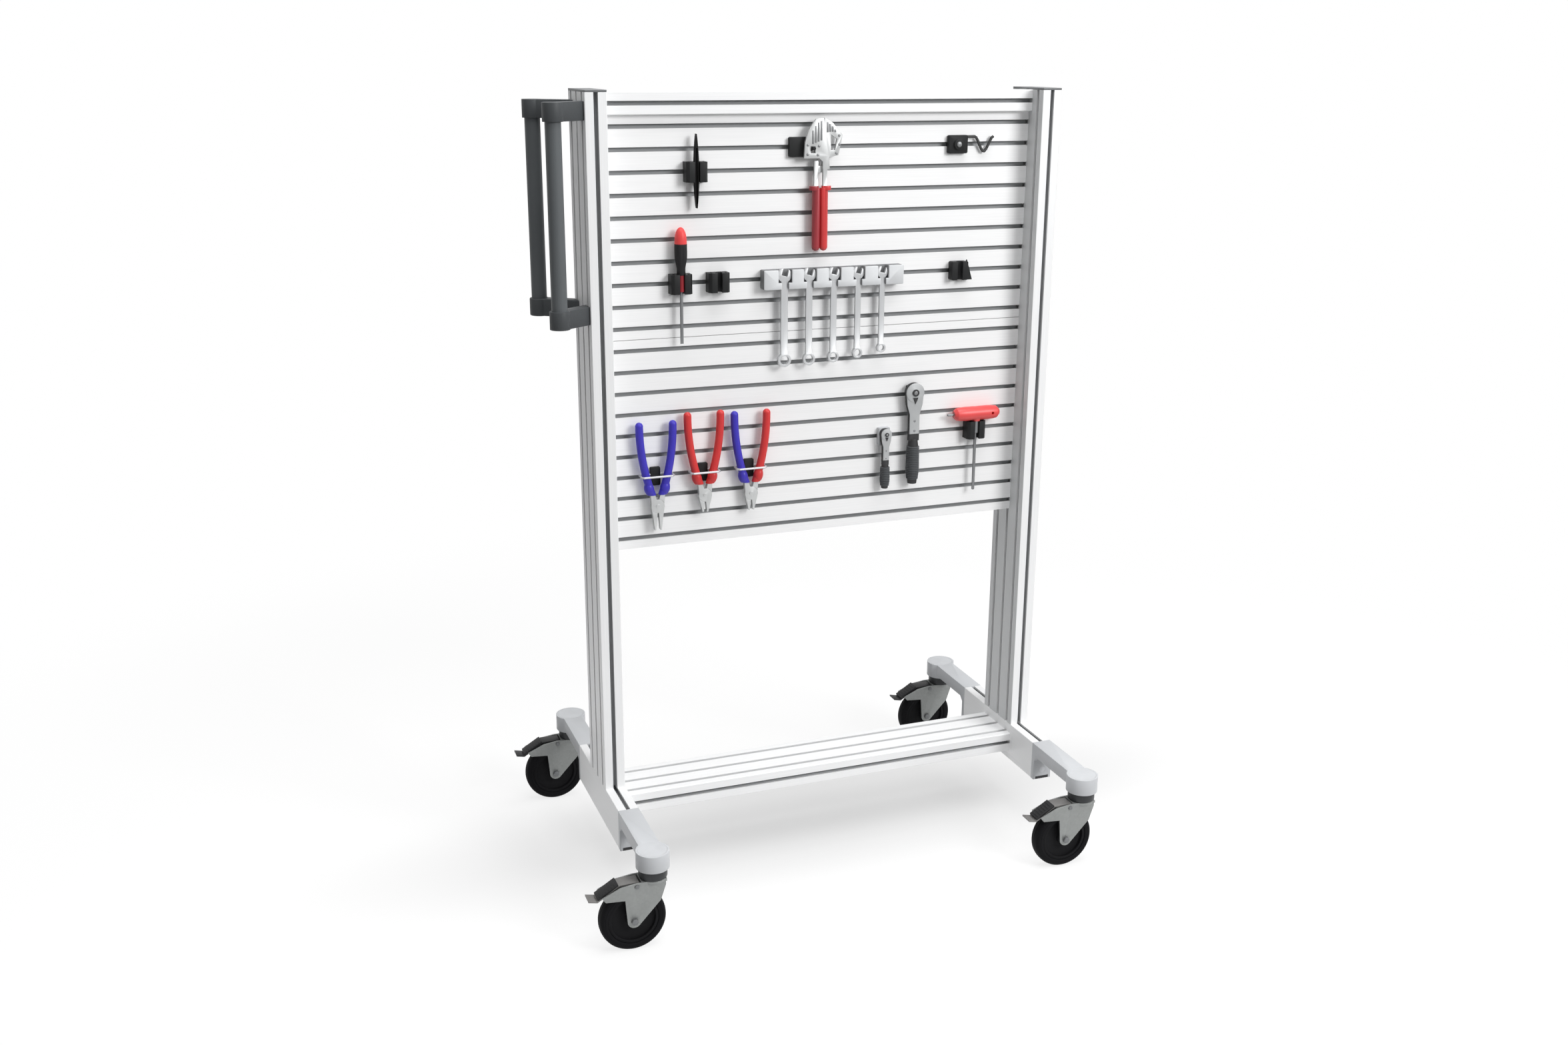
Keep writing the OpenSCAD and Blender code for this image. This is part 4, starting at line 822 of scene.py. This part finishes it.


# %% [markdown]
# Seen from the front, the face plate is the middle one of three layers: the button stands before it and the body
# lies behind it, coloured nearly black as painted shade. So the finish of the head has zones from front to back. The
# table gives the length and width of each grip and the height of its collar in millimetres. Radii of the button and
# screws are shares of half the head's width. The lower screw is counted in collars above the grip, the upper one in
# half widths below the top.

# %% Ratchets
RATCHETS = {"small_ratchet": (52.0, 17.0, 6.0), "large_ratchet": (92.0, 24.0, 10.0)}
RATCHET_EDGE = 0.6 * MM
BUTTON_FRONT, HEAD_FRONT, NECK_FRONT, PLATE_BACK = 8.0 * MM, 6.5 * MM, 5.0 * MM, 3.4 * MM
BUTTON_R, BUTTON_RISE = 0.2, 0.7
SCREW_R, SCREW_RISE = 0.14, 0.8
LOWER_SCREW, UPPER_SCREW = 1.6, 4.0
sleeve_rubber = moulded("sleeve_rubber", (0.085, 0.090, 0.095), 0.5, shine=0.3)
for tool, (grip, width, collar) in RATCHETS.items():
    low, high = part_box(tool)
    head = (high.x - low.x) / 2
    middle_x = (low.x + high.x) / 2
    axis_y = low.y + width / 2 * MM
    # behind the face plate the head is coloured as painted shade
    rounded(tool, RATCHET_EDGE, zoned(
        f"{tool}_grip_and_head", BLACK_GRIP, (low.z + (grip + collar) * MM, SATIN_STEEL),
        patches=[(Y, axis_y - PLATE_BACK, FAR, PAINTED_BODY_SHADE), (Y, -FAR, axis_y - HEAD_FRONT, BLACK_GRIP)]))
    body, slot = NODES[tool]["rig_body"], SLOT_OF[tool]
    sleeve = move(ringed_sleeve(grip, width), Vector((middle_x, axis_y, low.z)))
    piece(f"{tool}_sleeve", sleeve, body, sleeve_rubber)
    button_at = Vector((middle_x, axis_y - BUTTON_FRONT, high.z - head))
    trim = move(dome(head / MM * BUTTON_R, BUTTON_RISE), button_at)
    for z in (low.z + (grip + LOWER_SCREW * collar) * MM, high.z - UPPER_SCREW * head):
        add(trim, move(dome(head / MM * SCREW_R, SCREW_RISE), Vector((middle_x, axis_y - NECK_FRONT, z))))
    piece(f"{tool}_screws", trim, body, die_steel)
print(len(RATCHETS), "ratchets finished")

# %% [markdown]
# The block of the wire hook is held by one screw with a low round head. It is the same dome as a rivet, only larger,
# and rides on the body that carries the blocks.

# %% Screw of the hook block
HOOK_SCREW_R, HOOK_SCREW_RISE = 5.5, 2.6
HOOK_SCREW_AT = Vector((271.0, -21.5, 1400.0)) * MM
piece("hook_screw", move(dome(HOOK_SCREW_R, HOOK_SCREW_RISE), HOOK_SCREW_AT), NODES["holder_blocks"]["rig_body"],
      die_steel)
print("hook screw placed")

# %% [markdown]
# ## Castors
# A moulded rubber tyre has a crowned tread, a thin line where the two halves of its mould met, and a groove around
# each wall. A dozen points on each side give its section, which is spun about the axle. The brake pedal
# carries a black rubber pad on its slope, with ribs across it so that a shoe doesn't slip. The ribs are seen
# against the light, so they are blocks and not relief.

# %% Sections of tyres, and pedal pads
TYRE_HALF = ((62.5, 0.0), (62.2, 0.5), (62.2, 5.5), (61.4, 9.2), (59.4, 12.4), (57.0, 13.8), (55.0, 14.3),
             (54.3, 13.9), (53.5, 13.9), (52.8, 14.4), (49.5, 14.4), (47.6, 13.4))
TYRE = TYRE_HALF + tuple((radius, -side) for radius, side in reversed(TYRE_HALF) if side)
TYRE_STEPS = 96
PAD, PAD_EDGE = Vector((45.0, 28.0, 4.4)) * MM, 1.2 * MM
PAD_MIDDLE = Vector((-46.4, 0.0, 64.0)) * MM
PAD_SLOPE = math.atan2(25.0, 41.0)
RIB, RIB_EDGE = Vector((2.6, 23.0, 1.6)) * MM, 0.6 * MM
RIBS, RIBBED = 6, 0.86


def sloping_pad():
    """A pad with ribs across its upper side, turned to the slope of the pedal."""
    pad = bmesh.new()
    slab(pad, PAD, (0, 0, 0), PAD_EDGE)
    for number in range(RIBS):
        along = ((number + 0.5) / RIBS - 0.5) * PAD.x * RIBBED
        slab(pad, RIB, (along, 0, PAD.z / 2), RIB_EDGE)
    bmesh.ops.rotate(pad, cent=(0, 0, 0), matrix=Matrix.Rotation(-PAD_SLOPE, 3, "Y"), verts=pad.verts)
    return pad


# %% Tyres and pedal pads
pad_rubber = moulded("pad_rubber", (0.012, 0.012, 0.013), 0.5, shine=0.25)
for corner in CORNERS:
    low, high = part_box(f"{corner}_tyre")
    axle = (low + high) / 2
    tyre = move(spun(TYRE, (0, 1, 0), TYRE_STEPS, closed=True), axle)
    piece(f"{corner}_moulded_tyre", tyre, f"{corner}_wheel", FINISHES["tyre_rubber"],
          [f"{corner}_tyre"])
    pad = move(sloping_pad(), axle + PAD_MIDDLE)
    piece(f"{corner}_pedal_pad", pad, f"{corner}_brake", pad_rubber)
print(len(CORNERS), "castors finished")

# %% [markdown]
# ## The floor
# A pale floor runs to the horizon. A white floor that is only lit either clips or looks grey, so for the lens it is
# mostly a glow, with a weaker glow under the beam as a painted shadow, and a share of the lamps' light on it keeps
# the object's shadow. Farther out it glows white, so that it runs into the background.

# %% Floor
FLOOR_R, FLOOR_SIDES = 60.0, 96
FLOOR_LEVEL = 0.60
FLOOR_SEEN = 0.22
# a painted shadow under the beam: where it lies, how it fades and how weak its glow is
PAINTED_SHADOW_MIDDLE = (0.0, 0.05, 0.0)
PAINTED_SHADOW_FADE = (0.1, 1.2)
PAINTED_SHADOW_STRETCH = (1.0, 3.5, 1.0)
PAINTED_SHADOW_GLOW, ROUND_GLOW = 0.54, 0.80
FLOOR_FADE = (1.1, 2.4)
BLACK, WHITE = shade(0.0), shade(1.0)

ground = bmesh.new()
bmesh.ops.create_circle(ground, cap_ends=True, segments=FLOOR_SIDES, radius=FLOOR_R)
floor_mesh = bpy.data.meshes.new("floor")
ground.to_mesh(floor_mesh)
ground.free()
floor = bpy.data.objects.new("floor", floor_mesh)
bpy.context.scene.collection.objects.link(floor)

floor_finish = Finish("floor")
seen = floor_finish.node("ShaderNodeLightPath", {}, {}, "Is Camera Ray")
mirrored = floor_finish.node("ShaderNodeLightPath", {}, {}, "Is Glossy Ray")
from_painted_shadow = floor_finish.node("ShaderNodeVectorMath", {"operation": "SUBTRACT"},
                               {0: floor_finish.place, 1: PAINTED_SHADOW_MIDDLE})
from_painted_shadow = floor_finish.node("ShaderNodeVectorMath", {"operation": "MULTIPLY"}, {0: from_painted_shadow, 1: PAINTED_SHADOW_STRETCH})
painted_shadow_reach, reach = (floor_finish.node("ShaderNodeVectorMath", {"operation": "LENGTH"}, {0: way}, "Value")
                      for way in (from_painted_shadow, floor_finish.place))
far = reach.step(*FLOOR_FADE)
# the glow is weaker under the beam: a painted shadow
near_glow = painted_shadow_reach.step(*PAINTED_SHADOW_FADE) * (ROUND_GLOW - PAINTED_SHADOW_GLOW) + PAINTED_SHADOW_GLOW
glow = (seen + mirrored) * (near_glow + far * (1.0 - near_glow))
lit = (1.0 - far) * (FLOOR_LEVEL - seen * (FLOOR_LEVEL - FLOOR_SEEN))
floor_mesh.materials.append(floor_finish.set({
    "Base Color": floor_finish.blend(lit, BLACK, WHITE),
    "Roughness": 0.9,
    "Specular IOR Level": 0.0,
    "Emission Strength": 1.0,
    "Emission Color": floor_finish.blend(glow, BLACK, WHITE),
}))
print("floor", 2 * FLOOR_R, "m across")

# %% [markdown]
# ## World and lamps
# The world is white for the lens and for reflections, and much dimmer as a light, so that the white background
# doesn't bleach the object. One large soft lamp stands in front on the right, so tools throw their shadows to the
# left, and a second hangs overhead.

# %% World
WORLD_LIGHT = 0.26
world = bpy.data.worlds.new("studio")
bpy.context.scene.world = world
sky = Tree(world)
in_lens, in_gloss, in_glass = (sky.node("ShaderNodeLightPath", {}, {}, f"Is {kind} Ray")
                               for kind in ("Camera", "Glossy", "Transmission"))
strength = sky.node("ShaderNodeMapRange", {}, {"Value": in_lens.most(in_gloss).most(in_glass), "To Min": WORLD_LIGHT})
sky.fill(sky.nodes["Background"], {"Color": WHITE, "Strength": strength})
print("world lights at", WORLD_LIGHT)

# %% Lamps
KEY = {"place": (2.3, -3.6, 3.0), "aim": (0.0, 0.0, 0.8), "size": 1.8, "watts": 133.0}
TOP = {"place": (0.1, -0.6, 4.6), "aim": (0.0, 0.0, 0.3), "size": 3.2, "watts": 150.0}


def lamp(name, place, aim, size, watts):
    light = bpy.data.lights.new(name, "AREA")
    light.size = size
    light.energy = watts
    stand = bpy.data.objects.new(name, light)
    stand.location = place
    stand.rotation_euler = (Vector(aim) - Vector(place)).to_track_quat("-Z", "Y").to_euler()
    bpy.context.scene.collection.objects.link(stand)


lamp("key", **KEY)
lamp("top", **TOP)
print("lamps of", KEY["watts"], "and", TOP["watts"], "watts")
